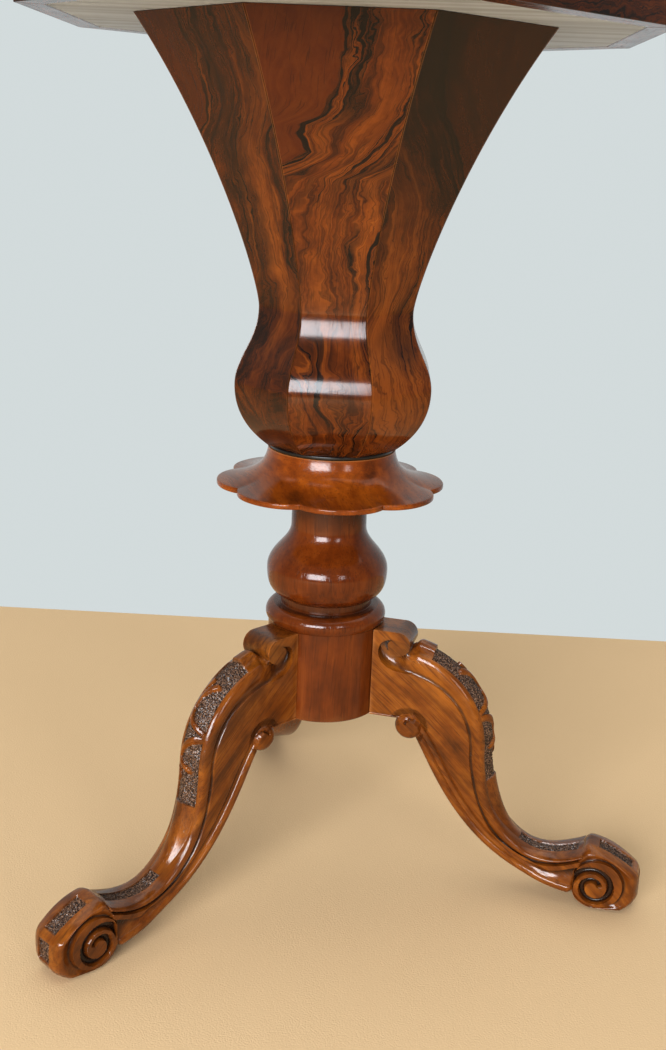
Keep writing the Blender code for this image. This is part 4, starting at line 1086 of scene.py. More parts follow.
class KneeCarving:
    """Heights of the carving on the top of a leg, above its crown."""

    def __init__(self, stations, sizes):
        self.sizes = sizes
        tops = [station.top for station in stations]
        self.panels = [station.panel for station in stations]
        self.run = lengths_along(tops)

        def past(limit):
            return next(k for k, top in enumerate(tops) if top[0] - BLOCK_RADIUS > limit)

        foot = next(k for k in range(past(PAST_KNEE), len(tops)) if tops[k][1] < CARVING_FOOT)
        self.start = self.run[past(CARVING_START)]
        self.length = self.run[foot] - self.start
        self.ankle, self.ankle_end = (self.run[past(limit)] for limit in ANKLE_GROUND)
        self.lines = []
        for line in STRAP_LINES:
            places = through([(a * self.length, b * KNEE_PANEL[0]) for a, b in line], 10)
            self.lines.append(np.array([tuple(place) for place in places]))
        self.draw = random.Random(KNEE_SEED)

    def tablet(self, run, across, panel):
        """The smooth tablet behind the roll: a flat top and hollow sides."""
        most = self.sizes.tablet_lift
        lift = most * smoothstep(run, 0.0, TABLET_RUN)
        lift *= smoothstep(TABLET_HALF - abs(across), 0.0, TABLET_EDGE)
        beyond = (abs(across) - TABLET_SCOOP) / (panel - TABLET_SCOOP)
        return lift - most * 0.4 * math.sin(math.pi * min(1.0, max(0.0, beyond)))

    def height(self, station, across):
        """Height and stipple at a station, across in metres from the middle of the panel."""
        run = self.run[station] - self.start
        panel = self.panels[station]
        margin = panel - self.sizes.panel_border
        sink = self.sizes.panel_sink
        if run <= 0.0:
            return self.tablet(self.run[station], across, panel), 0.0
        if run < self.length:
            if abs(across) > margin:
                return 0.0, 0.0
            spot = np.array((run, across))
            gap = min(np.sqrt(((line - spot) ** 2).sum(axis=1)).min() for line in self.lines)
            half = self.sizes.strap_width / 2
            if gap < half:
                lift = sink + self.sizes.strap_lift * (1 - 0.6 * (gap / half) ** 2)
                return lift * smoothstep(half - gap, 0.0, STRAP_EDGE) - sink, 0.0
            return punched(self.sizes, self.draw)
        if self.ankle < self.run[station] < self.ankle_end and abs(across) < margin:
            return punched(self.sizes, self.draw)
        return 0.0, 0.0


def leg_side(station, depth, half, flare):
    """One side of a leg from the middle of its underside to its panel: climb, across and recess."""
    bead = BEAD_LEAST + BEAD_GAIN * station.bead
    points = [(0.0, 0.0, 0.0), (0.0, (half - bead) * 0.6, 0.0)]
    for k in range(9):
        turn = math.radians(-90 + 150 * k / 8)
        points.append((bead + bead * math.sin(turn), half - bead + bead * math.cos(turn), 0.0))
    low, start = points[-1][:2]
    cove = COVE_LEAST + COVE_GAIN * station.bead
    cove += max(0.0, depth - station.edge - low - BAND - cove) * flare
    dip = (COVE_DIP + FLARE_DIP * flare) * station.bead
    for k in range(1, 11):
        t = k / 10
        soft = (1 - math.cos(2 * math.pi * t)) / 2
        steep = t ** 1.6 * (1 - t) ** 0.45 / 0.34
        hollow = soft * (1 - flare) + steep * flare
        across = start + (half - start) * smoothstep(t, 0.0, 1.0) - dip * hollow
        points.append((low + cove * t, across, hollow * station.bead * (0.20 + 0.50 * flare)))
    low = points[-1][0]
    columns = 8
    flat = depth - station.edge - low
    points += [(low + flat * k / columns, half, 0.0) for k in range(1, columns + 1)]
    brow = depth + station.crown - station.fall
    moulding = brow - depth + station.edge
    for drop, share, recess in EDGE_ROW[1:]:
        share += (np.interp(drop, THROAT_DROPS, THROAT_SHARES) - share) * station.throat
        recess += (0.5 * smoothstep(1 - drop, 0.0, 0.10) - recess) * station.throat
        across = station.panel + (half - station.panel) * share
        points.append((brow - moulding * drop, across, recess))
    return points


def leg_ring(station, half, relief):
    """A closed ring across a leg, square to its run, with the stipple and recess of its points."""
    foot = Vector(station.foot)
    up = Vector(station.top) - foot
    depth = up.length
    up.normalize()
    flare = smoothstep(station.top[0] - BLOCK_RADIUS, *FLARE)
    side = leg_side(station, depth, half, flare)
    points = [(climb, across, 0.0, recess) for climb, across, recess in side]
    columns = 42
    for k in range(1, columns):
        across = station.panel * (1 - 2 * k / columns)
        lift, stipple = relief(across)
        fall = station.fall * (across / station.panel) ** 2
        points.append((depth + station.crown - fall + lift, across, stipple, 0.0))
    points += [(climb, -across, 0.0, recess) for climb, across, recess in side[:0:-1]]
    ring = [Vector((foot.x + up.x * climb, across, foot.y + up.y * climb))
            for climb, across, _, _ in points]
    return ring, [point[2:] for point in points]


def plain(across):
    """A panel with nothing carved on it."""
    return 0.0, 0.0


def leg_body(sizes):
    """The leg from inside the block to inside its foot."""
    stations = leg_stations()
    first = next(k for k, station in enumerate(stations) if station.bead > 0)
    carving = KneeCarving(stations[first:], sizes)
    rings, marks = [], []

    def add(station, half, relief):
        ring, mark = leg_ring(station, half, relief)
        rings.append(ring)
        marks.append(mark)

    for k, station in enumerate(stations):
        widened = smoothstep(station.top[0] - BLOCK_RADIUS, *WIDENING)
        half = LEG_HALF + (FOOT_HALF - GAP - LEG_HALF) * widened
        relief = (lambda across: carving.height(k - first, across)) if k >= first else plain
        bead = station.bead * smoothstep(k - first, 5.0, 20.0)
        add(station._replace(bead=bead), half, relief)
    last = stations[-1]
    top, foot = [tuple(a + b for a, b in zip(start, way))
                 for start, way in ((last.top, END_TOP), (last.foot, END_FOOT))]
    for share in (0.15, 0.4, 0.7, 1.0):
        inward = last._replace(top=between(last.top, top, share),
                               foot=between(last.foot, foot, share))
        add(inward, FOOT_HALF - GAP - END_NARROWS * smoothstep(share, 0.0, 0.7), plain)
    return skin(rings, marks)


def knee_groove(side):
    """A cutter for the hollow round the upper side of the knee scroll, on one side of the leg."""
    steps, start, end = 16, KNEE_COVE_START, KNEE_COVE_END
    inner = KNEE_SCROLL_RADIUS - QUIRK / 4
    section = [(inner + KNEE_COVE, 1.0), (inner, 1.0)]
    section += [(inner + KNEE_COVE * k / steps, -math.sin(math.pi * k / steps) ** 1.5)
                for k in range(steps + 1)]
    bm = spun(section, 60, math.radians(start), math.radians(end - start), closed=True)
    for vert in bm.verts:
        angle = math.degrees(math.atan2(vert.co.y, vert.co.x))
        fade = smoothstep(angle, start, start + 60) if angle < 120 else 1.0
        deep = vert.co.z * (0.001 if vert.co.z > 0 else KNEE_COVE_DEPTH * fade)
        vert.co = (KNEE_SCROLL.x + vert.co.x, side * (LEG_HALF + deep), KNEE_SCROLL.y + vert.co.y)
    bmesh.ops.recalc_face_normals(bm, faces=bm.faces)
    return to_mesh(bm)


def channel_depth(channel, offset):
    """Depth of a spiral channel at an offset from the middle of its scroll."""
    spot = Vector(offset) - Vector(channel.pole)
    radius = spot.length
    way = math.copysign(1.0, channel.turns)
    angle = way * (math.atan2(spot.y, spot.x) - math.radians(channel.angle)) % (2 * math.pi)
    deepest = 0.0
    for turn in range(3):
        share = (angle + 2 * math.pi * turn) / (2 * math.pi * abs(channel.turns))
        if share > 1.0:
            break
        middle = channel.start + (channel.end - channel.start) * share ** channel.tightening
        half = channel.half * (1 - channel.taper * share)
        across = abs(radius - middle) / half
        if across < 1.0:
            ends = smoothstep(share, 0.0, channel.fade) * smoothstep(1.0 - share, 0.0, channel.fade)
            deepest = max(deepest, channel.depth * ends * (1 - across ** 4))
    return deepest


def scroll_shell(centre, outline, rim, layers, channel, disc_steps, relief=None, hollow=None):
    """A scroll across the leg: spiral ends, moulded layers between them and a panel in the middle.

    The outline is a ring of offsets from the centre. Each layer is the share of the way from the
    outline in to the rim, the place across the leg and the recess there.
    """
    half = layers[0][1]
    stain = FOOT_STAIN if relief else KNEE_STAIN
    order = [(k / disc_steps, None) for k in range(disc_steps)] + [layer[:2] for layer in layers]
    recesses = [0.0] * disc_steps + [layer[2] for layer in layers]
    order += [(inward, None if across is None else -across) for inward, across in order[::-1]]
    rings, marks = [], []
    middle = len(order) / 2
    for j, (inward, across) in enumerate(order):
        ring, mark = [], []
        for i, offset in enumerate(outline):
            direction = offset.normalized()
            edge = min(rim, offset.length - QUIRK) if relief else rim
            if across is None:
                spot = direction * edge * inward
                sunk = channel_depth(channel, spot)
                place = half - sunk if j < middle else sunk - half
                mark.append((0.0, stain * sunk / channel.depth))
            else:
                reach = offset.length * (1 - inward) + edge * inward
                lift, stipple = relief(i, across) if relief and inward == 0.0 else (0.0, 0.0)
                spot = direction * (reach + lift)
                recess = recesses[min(j, len(order) - 1 - j)]
                if hollow:
                    sunk = hollow(i, inward)
                else:
                    sunk = channel_depth(channel, spot) if inward > 0.0 else 0.0
                    recess = stain * sunk / channel.depth
                place = across - math.copysign(sunk, across)
                mark.append((stipple, recess))
            ring.append(Vector((centre.x + spot.x, place, centre.y + spot.y)))
        rings.append(ring)
        marks.append(mark)
    return skin(rings, marks)


def foot_shell(sizes):
    """The volute foot with its moulded toe and two stippled panels."""
    waist = (FOOT_BACK[0], ANKLE[1])
    spans = ((waist, HUMP, WAIST_TO_HUMP, 18), (HUMP, CREST, HUMP_TO_CREST, 54),
             (CREST, TOE, CREST_TO_TOE, 28), (TOE, SOLE_OUTER, TOE_TO_SOLE, 26))
    points, starts = [waist], []
    for start, end, bend, steps in spans:
        starts.append(len(points))
        points += curve(start, end, bend, steps)
    points += straight(SOLE_OUTER, SOLE_INNER, 24)
    points += curve(SOLE_INNER, FOOT_BACK, SOLE_TO_BACK, 24)
    points += straight(FOOT_BACK, waist, 20)[:-1]
    outline = [Vector(point) - FOOT for point in points]
    panels = ((starts[1] + 8, starts[2] - 6), (starts[2] + 6, starts[3] + 2))
    draw = random.Random(FOOT_SEED)

    def relief(i, across):
        inside = any(low < i < high for low, high in panels)
        if inside and abs(across) < FOOT_PANEL_HALF - sizes.panel_border:
            return punched(sizes, draw)
        return 0.0, 0.0

    def hollow(i, inward):
        along = smoothstep(i, starts[1] - 4, starts[1] + 18)
        along *= 1 - smoothstep(i, starts[3] + 26, starts[3] + 46)
        deep = TOE_HOLLOW * along * smoothstep(inward, 0.25, 0.65)
        return deep * (1 - smoothstep(inward, 0.88, 0.99))

    swell = FOOT_HALF - FOOT_PANEL_HALF
    layers = [(drop, FOOT_PANEL_HALF + swell * share, recess)
              for drop, share, recess in FOOT_EDGE_ROW]
    columns = 12
    layers += [(0.0, FOOT_PANEL_HALF * (1 - k / columns), 0.0) for k in range(1, columns + 1)]
    return scroll_shell(FOOT, outline, FOOT_RADIUS, layers, FOOT_CHANNEL, 36, relief, hollow)


def head_scroll():
    """The band along the top of a leg and the roll that it ends in, right across the leg."""
    half = LEG_HALF
    inner = BLOCK_RADIUS - QUIRK
    outline = [Vector((inner, ROLL.y + ROLL_BAND[-1][1])), Vector((inner, HEAD_TOP))]
    outline += [ROLL + heading(angle) * radius for angle, radius in through(ROLL_SPIRAL, 5)]
    outline += [ROLL + Vector(offset) for offset in through(ROLL_BAND, 4)]
    bm = bmesh.new()
    face = bm.faces.new([bm.verts.new((spot.x, -half, spot.y)) for spot in outline])
    grown = bmesh.ops.extrude_face_region(bm, geom=[face])["geom"]
    far = [part for part in grown if isinstance(part, bmesh.types.BMVert)]
    bmesh.ops.translate(bm, verts=far, vec=(0, 2 * half, 0))
    bmesh.ops.recalc_face_normals(bm, faces=bm.faces)
    ease(bm, ROLL_ROUND, 1, lambda edge: abs(edge.verts[0].co.y - edge.verts[1].co.y) < half)
    for place in (ROLL_EDGE - half, half - ROLL_EDGE):
        divide(bm, (0, place, 0), (0, 1, 0))
    return bm


def knee_scroll():
    """The round scroll under the knee, its rims rounded over."""
    steps = 96
    half = LEG_HALF + KNEE_SCROLL_PROUD
    outline = [heading(360 * k / steps) * KNEE_SCROLL_RADIUS for k in range(steps)]
    layers = []
    for k in range(8):
        turn = math.pi / 2 * k / 7
        layers.append((1 - math.sin(turn), half - KNEE_SCROLL_SOFT * (1 - math.cos(turn)), 0.0))
    layers += [(0.0, half * share, 0.0) for share in (0.6, 0.2)]
    rim = KNEE_SCROLL_RADIUS - KNEE_SCROLL_SOFT
    return scroll_shell(KNEE_SCROLL, outline, rim, layers, KNEE_CHANNEL, 20)


def leg_mesh(sizes):
    """One leg along +X with its foot, rolls and dovetail tongue."""
    shells = (leg_body(sizes), foot_shell(sizes), head_scroll(), knee_scroll())
    leg, *others = [to_mesh(bm) for bm in shells]
    scribe = rod(BLOCK_RADIUS + 2 * GAP, 2 * RING_TOP, TURNING_STEPS)
    dovetail = tongue(0.0, COLUMN_FOOT + QUIRK, BLOCK_TOP - TONGUE_STOP)
    for tools, operation in (([knee_groove(1), knee_groove(-1)], "DIFFERENCE"), (others, "UNION"),
                             ([to_mesh(scribe)], "DIFFERENCE"), ([dovetail], "UNION")):
        leg = combined(leg, tools, operation, "MANIFOLD")
    return leg


# Box and lid

def upright(outer, inner, low, high):
    """Section of an upright board between two flats."""
    return [(outer, low), (outer, high), (inner, high), (inner, low)]


def mortise(x, front, back, low, high):
    """A cutter as long as a hinge, with its clearance."""
    half = HINGE_LENGTH / 2 + GAP
    return to_mesh(cuboid((x - half, front, low), (x + half, back, high)))


def side_mesh(number, sizes):
    """One side of the box, veneered outside, with mortises for the hinges in the back one."""
    bm = ease(mitred(upright(BOX_FLAT, INNER_FLAT, UNDERSIDE, BOX_TOP)), sizes.edge_round)
    for face in bm.faces:
        face.material_index = 0 if face.calc_center_median().x > BOX_FLAT - FACE_DEPTH else 1
    sheet = SHEET_STEP * (number + FRIEZE_SHEET)
    across, along = FRIEZE_PLACE
    lay_veneer(bm, lambda spot: (spot.z - UNDERSIDE + across, spot.y + along, sheet))
    # The frieze made darker all over
    smoke = bm.verts.layers.float.new("smoke")
    for vert in bm.verts:
        vert[smoke] = FRIEZE_DARKENING
    mesh = to_mesh(bm)
    if number == FACETS // 2:
        cutters = [mortise(x, BOX_FLAT - LEAF_DEPTH - GAP, BOX_FLAT + LEAF_DEPTH,
                           BOX_TOP - LEAF_THICKNESS - GAP, BOX_TOP + LEAF_THICKNESS)
                   for x in HINGE_PLACES.values()]
        for cutter in cutters:
            cutter.transform(Matrix.Rotation(-facing(number), 4, "Z"))
        mesh = combined(mesh, cutters, "DIFFERENCE")
    return mesh


def plank_mesh(low, high, sizes):
    """One plank of the underside, papered inside, cut to the octagon and round the well."""
    plank = to_mesh(cuboid((*low, UNDERSIDE), (*high, UNDERSIDE + BOTTOM_BOARD)))
    below, above = UNDERSIDE - BOTTOM_BOARD, UNDERSIDE + 2 * BOTTOM_BOARD
    plank = combined(plank, [to_mesh(octagon_block(INNER_FLAT - GAP, below, above))], "INTERSECT")
    plank = combined(plank, [to_mesh(octagon_block(WELL_FLAT, below, above))], "DIFFERENCE")
    bm = bmesh.new()
    bm.from_mesh(plank)
    bmesh.ops.dissolve_limit(bm, angle_limit=math.radians(1), verts=bm.verts, edges=bm.edges)
    ease(bm, sizes.edge_round)
    for face in bm.faces:
        face.material_index = 0 if face.calc_center_median().z < UNDERSIDE + sizes.edge_round else 1
    return to_mesh(bm)


def lid_mesh(sizes):
    """The lid: a moulded octagonal board with a banded border round eight wedges of veneer."""
    crown = LID_FLAT - LID_STEP
    section = [(0.0, LID_FOOT), (LID_FLAT - LID_EDGE, LID_FOOT), (LID_FLAT, LID_FOOT + LID_EDGE),
               (LID_FLAT, LID_LIP - LID_EDGE), (LID_FLAT - LID_EDGE, LID_LIP),
               (crown + LID_EDGE / 2, LID_LIP), (crown, LID_LIP + LID_EDGE / 2)]
    climb = LID_TOP - LID_LIP
    for k in range(1, 13):
        turn = math.pi / 2 * k / 12
        section.append((crown - LID_ROUND * (1 - math.cos(turn)), LID_LIP + climb * math.sin(turn)))
    inner = section[-1][0] - sizes.banding
    section += [(inner, LID_TOP), (inner - LID_LINE, LID_TOP), (0.0, LID_TOP)]
    bm = spun([(to_corner(flat), height) for flat, height in section], FACETS, FRONT - HALF_FACET)
    layer = bm.loops.layers.float_vector.new("sheet")
    wedge = SHEET_STEP * LID_SHEET
    for face in bm.faces:
        centre = face.calc_center_median()
        flat_reach = math.hypot(centre.x, centre.y)
        number = round((math.atan2(centre.y, centre.x) - FRONT) / (2 * HALF_FACET)) % FACETS
        angle = facing(number)
        out = Vector((math.cos(angle), math.sin(angle)))
        side = Vector((-out.y, out.x))
        top = centre.z > LID_TOP - GAP / 3
        line = top and inner - LID_LINE < flat_reach < inner
        face.material_index = 2 if line else (1 if not top or flat_reach > inner else 0)
        flip = 1 if number % 2 else -1
        border = SHEET_STEP * (number + BORDER_SHEET)
        for loop in face.loops:
            spot = loop.vert.co.xy
            along, across = spot.dot(out), spot.dot(side)
            if face.material_index == 0:
                loop[layer] = (across * flip + LID_PLACE[0], along + LID_PLACE[1], wedge)
            else:
                loop[layer] = (across + BORDER_PLACE, along * BORDER_DRAWN + loop.vert.co.z, border)
    back, low = LID_FLAT + MORTISE_OVER, LID_FOOT - LEAF_THICKNESS
    leaf_top = LID_FOOT + LEAF_THICKNESS + GAP
    knuckle_top = HINGE_AXIS_Z + KNUCKLE_RADIUS + 2 * GAP
    knuckle_front = HINGE_AXIS_Y - KNUCKLE_RADIUS - 2 * GAP
    cutters = []
    for x in HINGE_PLACES.values():
        cutters.append(mortise(x, BOX_FLAT - LEAF_DEPTH - GAP, back, low, leaf_top))
        cutters.append(mortise(x, knuckle_front, back, low, knuckle_top))
    return combined(to_mesh(bm), cutters, "DIFFERENCE")


def chamfered(inner, outer, low, high):
    """Section of a turned bar or ring with chamfered ends."""
    return [(inner, low), (outer - CHAMFER, low), (outer, low + CHAMFER), (outer, high - CHAMFER),
            (outer - CHAMFER, high), (inner, high)]


def to_hinge(bm, x):
    """Lay something turned about Z along the axis of a hinge."""
    lying = Matrix.Rotation(math.pi / 2, 3, "Y")
    bmesh.ops.rotate(bm, verts=bm.verts, cent=(0, 0, 0), matrix=lying)
    bmesh.ops.translate(bm, verts=bm.verts, vec=(x, HINGE_AXIS_Y, HINGE_AXIS_Z))
    return to_mesh(bm)


def screw_head(radius):
    """A slotted screw head, its face level with the origin."""
    head = spun([(0.0, 0.0), (radius * 0.7, 0.0), (radius * 0.94, -0.00004), (radius, -0.0002),
                 (radius, -SCREW_DEPTH), (0.0, -SCREW_DEPTH)], 24)
    slot = cuboid((-radius * 1.2, -radius * 0.11, -0.0005), (radius * 1.2, radius * 0.11, 0.001))
    return combined(to_mesh(head), [to_mesh(slot)], "DIFFERENCE")


def hinge_leaf(x, knuckles, low, high, screw_side, sizes):
    """A hinge leaf with rolled knuckles and three screws whose heads lie flush on one side."""
    half = HINGE_LENGTH / 2
    inner = BOX_FLAT - LEAF_DEPTH
    back = HINGE_AXIS_Y - KNUCKLE_RADIUS - GAP
    bm = ease(cuboid((x - half, inner, low), (x + half, back, high)), LEAF_EDGE)
    parts = []
    for start, end in knuckles:
        parts.append(to_mesh(cuboid((x + start, inner + LEAF_DEPTH / 2, low),
                                    (x + end, HINGE_AXIS_Y - PIN_RADIUS, high))))
        ring = chamfered(PIN_RADIUS + PIN_PLAY, KNUCKLE_RADIUS, start, end)
        parts.append(to_hinge(spun(ring, 32, closed=True), x))
    level = high if screw_side > 0 else low
    over = Matrix.Rotation(0.0 if screw_side > 0 else math.pi, 4, "X")
    for place, share in SCREW_PLACES:
        head = screw_head(sizes.screw_radius)
        spot = (x + place * HINGE_LENGTH, inner + LEAF_DEPTH * share,
                level + screw_side * SCREW_PROUD)
        head.transform(Matrix.Translation(spot) @ (over @ Matrix.Rotation(place * 3, 4, "Z")))
        parts.append(head)
    for part in parts:
        bm.from_mesh(part)
        bpy.data.meshes.remove(part)
    return to_mesh(bm)


# Settings

def length(name, description, default):
    """A length that a user may change."""
    return FloatProperty(name=name, description=description, default=default, min=0.0, precision=5,
                         subtype="DISTANCE", unit="LENGTH")


def colour(name, description, default):
    """A colour that a user may change."""
    return FloatVectorProperty(name=name, description=description, default=default, size=3,
                               min=0.0, max=1.0, subtype="COLOR")


class WorkTableSizes(PropertyGroup):
    """Sizes of the details."""

    arris_round: length("Arris", "Rounding along the joints of the trumpet", 0.0006)
    edge_round: length("Board edges", "Rounding of the edges of boards", 0.0006)
    panel_sink: length("Panel depth", "Depth of the stippled ground below its border", 0.0019)
    panel_border: length("Panel border", "Plain border beside the stippled ground", 0.0005)
    stipple_depth: length("Stipple", "Height of the punched ground", 0.0011)
    tablet_lift: length("Tablet", "Height of the smooth tablet above the knee", 0.0020)
    strap_lift: length("Strap height", "Height of the carved straps above the panel's border",
                       0.0007)
    strap_width: length("Strap width", "Width of the carved straps on the knee", 0.0048)
    banding: length("Banding", "Width of the banded border of the lid", 0.019)
    screw_radius: length("Screw head", "Radius of the hinge screws", 0.0024)


class WorkTableColours(PropertyGroup):
    """Colours of the finishes."""

    walnut_light: colour("Walnut light", "Lightest streaks of the walnut", (0.3, 0.092, 0.0105))
    walnut_mid: colour("Walnut", "Body of the solid walnut", (0.172, 0.0445, 0.005))
    walnut_dark: colour("Walnut dark", "Darkest streaks of the walnut", (0.068, 0.018, 0.0036))
    # Old polish in the hollows, also painted shadow under the collar and on the back leg
    patina_and_shade: colour("Patina", "Old polish in the hollows", (0.012, 0.006, 0.004))
    worn_edge: colour("Worn edge", "Rubbed edges", (0.46, 0.19, 0.06))
    stipple: colour("Stippled ground", "Raised grains of the punched ground", (0.088, 0.044, 0.026))
    # Painted glints on the grains of the punched ground
    stipple_painted_glint: colour("Stipple glints", "Rubbed grains of the ground", (0.25, 0.145, 0.088))
    # Plain red veneer, also used as painted shadow towards the tops of the staves
    veneer_red_and_shade: colour("Plain veneer", "Plain reddish part of the veneer", (0.066, 0.0118, 0.0024))
    veneer_light: colour("Veneer light", "Golden part of the veneer", (0.235, 0.063, 0.008))
    veneer_mid: colour("Veneer", "Body of the veneer", (0.104, 0.023, 0.0034))
    veneer_dark: colour("Veneer dark", "Dark clouds of the veneer", (0.026, 0.0085, 0.003))
    # Smoky figure of the veneer, also painted shade on the staves marked for it
    veneer_smoke_and_shade: colour("Veneer smoke", "Smoky parts of the veneer", (0.014, 0.0092, 0.0056))
    veneer_line: colour("Veneer lines", "Dark growth lines of the veneer", (0.007, 0.0038, 0.0026))
    ebony: colour("Ebony", "Black ring", (0.006, 0.005, 0.005))
    # Colours of the bare boards, painted pale and bluish for the light on the underside
    softwood_painted_blue_light: colour("Softwood", "Bare boards", (0.6, 0.68, 0.8))
    softwood_bands_painted_blue_light: colour("Softwood bands", "Growth bands of the bare boards", (0.43, 0.49, 0.58))
    softwood_stains_painted_blue_light: colour("Softwood stains", "Old stains on the bare boards", (0.33, 0.35, 0.39))
    paper_light: colour("Paper", "Lining paper", (0.46, 0.39, 0.36))
    paper_dark: colour("Paper mottle", "Mottling of the lining paper", (0.33, 0.25, 0.23))
    brass: colour("Brass", "Hinges", (0.70, 0.48, 0.19))
    brass_tarnish: colour("Tarnish", "Tarnish on the hinges", (0.20, 0.12, 0.05))
    floor_light: colour("Floor", "Floor", (0.7, 0.5, 0.295))
    floor_dark: colour("Floor shade", "Unevenness of the floor", (0.6, 0.418, 0.234))
    sky: colour("Surroundings", "Soft light all round", (0.6, 0.645, 0.65))


# Operators

class WORKTABLE_OT_finishes(Operator):
    """Make the materials of the table and the floor"""
    bl_idname = "work_table.make_finishes"
    bl_label = "Make finishes"

    def execute(self, context):
        colours = context.scene.work_table_colours
        make_walnut("leg_walnut", colours, (0.98, 1.04, 1.04), streaks=0.9, polish=0.08,
                    clouds=0.55)
        make_walnut("turned_walnut", colours, (0.74, 0.60, 0.62), patina_and_shade=0.7, streaks=0.55,
                    polish=0.07)
        make_walnut("collar_walnut", colours, (1.20, 1.02, 0.70), patina_and_shade=0.7, streaks=0.7,
                    polish=0.09)
        make_walnut("board_walnut", colours, (0.60, 0.52, 0.55), patina_and_shade=0.6)
        make_veneer("trumpet_veneer", colours)
        make_softwood("bare_boards", colours, "grain")
        make_softwood("hidden_block", colours, "object")
        make_lining("paper_lining", colours)
        make_ebony("black_polish", colours)
        make_brass("aged_brass", colours)
        make_floor("pale_floor", colours)
        return {"FINISHED"}


class WORKTABLE_OT_staves(Operator):
    """Add the eight veneered staves of the trumpet"""
    bl_idname = "work_table.add_staves"
    bl_label = "Trumpet staves"

    def execute(self, context):
        sizes = context.scene.work_table_sizes
        for k in range(FACETS):
            mesh = stave_mesh(k, sizes)
            mark_grain(mesh, (0, 0, 1), (0.3 * k, 0.0, 0.0))
            add_piece(f"veneered_stave_{k + 1}", mesh, ["trumpet_veneer", "paper_lining"],
                      [f"trumpet_stave_{k + 1}"], turn=facing(k), sharp=8.0)
        return {"FINISHED"}


class WORKTABLE_OT_column(Operator):
    """Add the turned column, the scalloped collar and the black ring"""
    bl_idname = "work_table.add_column"
    bl_label = "Column and collar"

    def execute(self, context):
        column = column_mesh()
        mark_grain(column, (0, 0, 1), (0.11, 0.02, 0.3))
        mark_hollows(column, 1)
        up = points_of(column)[:, 2]
        # Painted shadow under the collar, darker upwards, and a darker fillet
        to_collar = (up - COLLAR_SEAT) / WAIST_SHADE + 1
        paint_polish_and_shade(column, to_collar > 0, to_collar * WAIST_PAINTED_SHADOW)
        on_fillet = (up > RING_TOP - GAP) & (up < FILLET_TOP + QUIRK)
        paint_polish_and_shade(column, on_fillet, FILLET_DARKENING)
        add_piece("baluster_column", column, ["turned_walnut"], ["turned_column"])
        collar = collar_mesh()
        mark_grain(collar, (1, 0.25, 0), (0.4, 0.1, 0.0))
        mark_hollows(collar, 1)
        add_piece("lobed_collar", collar, ["collar_walnut"], ["scalloped_collar"],
                  turn=FRONT + LOBE_TURN)
        bore = TENON_RADIUS + GAP
        ring = spun([(bore, BLACK_RING_FOOT), (BLACK_RING_RADIUS, BLACK_RING_FOOT),
                     (BLACK_RING_RADIUS, BLACK_RING_TOP), (bore, BLACK_RING_TOP)],
                    TURNING_STEPS, closed=True)
        ring = to_mesh(ease(ring, BLACK_RING_ROUND, 3))
        add_piece("ebonised_ring", ring, ["black_polish"], ["black_ring"])
        return {"FINISHED"}


class WORKTABLE_OT_legs(Operator):
    """Add the three carved legs"""
    bl_idname = "work_table.add_legs"
    bl_label = "Carved legs"

    def execute(self, context):
        leg = leg_mesh(context.scene.work_table_sizes)
        mark_hollows(leg, 3)
        out, across, up = points_of(leg).T
        from_edge = LEG_HALF - abs(across)
        on_roll = np.hypot(out - ROLL.x, up - ROLL.y) < ROLL_SPIRAL[0][1] + QUIRK / 2
        unworn = (from_edge < GAP / 10) | (from_edge > 0.9 * ROLL_EDGE)
        paint_polish_and_shade(leg, on_roll & unworn, ROLL_POLISH)
        # Painted shadow on the back leg where it runs below the block
        shadow_below_block = ((out < KNEE_SCROLL.x + KNEE_SCROLL_RADIUS)
                       & (up < COLUMN_FOOT + KNEE_SCROLL_RADIUS / 2))
        for k, (node, turn) in enumerate(zip(LEG_NODES, LEG_TURNS)):
            mesh = leg.copy()
            if node == "leg_front_right":
                mesh.transform(Matrix.Scale(-1, 4, (0, 1, 0)))
                mesh.flip_normals()
            if node == "leg_back":
                paint_polish_and_shade(mesh, shadow_below_block, BACK_LEG_PAINTED_SHADOW)
            mark_grain(mesh, LEG_GRAIN, (0.35 * k, 0.21 * k, 0.5 * k))
            add_piece("carved_" + node, mesh, ["leg_walnut"], [node],
                      turn=turn, sharp=38.0)
        bpy.data.meshes.remove(leg)
        return {"FINISHED"}


class WORKTABLE_OT_box(Operator):
    """Add the sides of the box and the planks of its underside"""
    bl_idname = "work_table.add_box"
    bl_label = "Box"

    def execute(self, context):
        sizes = context.scene.work_table_sizes
        for k in range(FACETS):
            mesh = side_mesh(k, sizes)
            mark_grain(mesh, (0, 1, 0), (0.2 * k, 0.0, 0.3 * k))
            add_piece(f"frieze_{k + 1}", mesh, ["trumpet_veneer", "board_walnut"],
                      [f"box_side_{k + 1}"], turn=facing(k), sharp=8.0)
        reach, half_gap = INNER_FLAT - GAP, GAP / 2
        outside, inside = PLANK_JOINT + half_gap, PLANK_JOINT - half_gap
        spans = {
            "front": ((-reach, -reach), (reach, -outside)),
            "back": ((-reach, outside), (reach, reach)),
            "left": ((-reach, -inside), (-half_gap, inside)),
            "right": ((half_gap, -inside), (reach, inside)),
        }
        for k, (side, (low, high)) in enumerate(spans.items()):
            mesh = plank_mesh(low, high, sizes)
            mark_grain(mesh, (1, 0, 0), (0.3 * k, 0.0, 0.7 * k))
            add_piece(f"bottom_plank_{side}", mesh, ["bare_boards", "paper_lining"],
                      [f"bottom_board_{side}"], sharp=20.0)
        return {"FINISHED"}


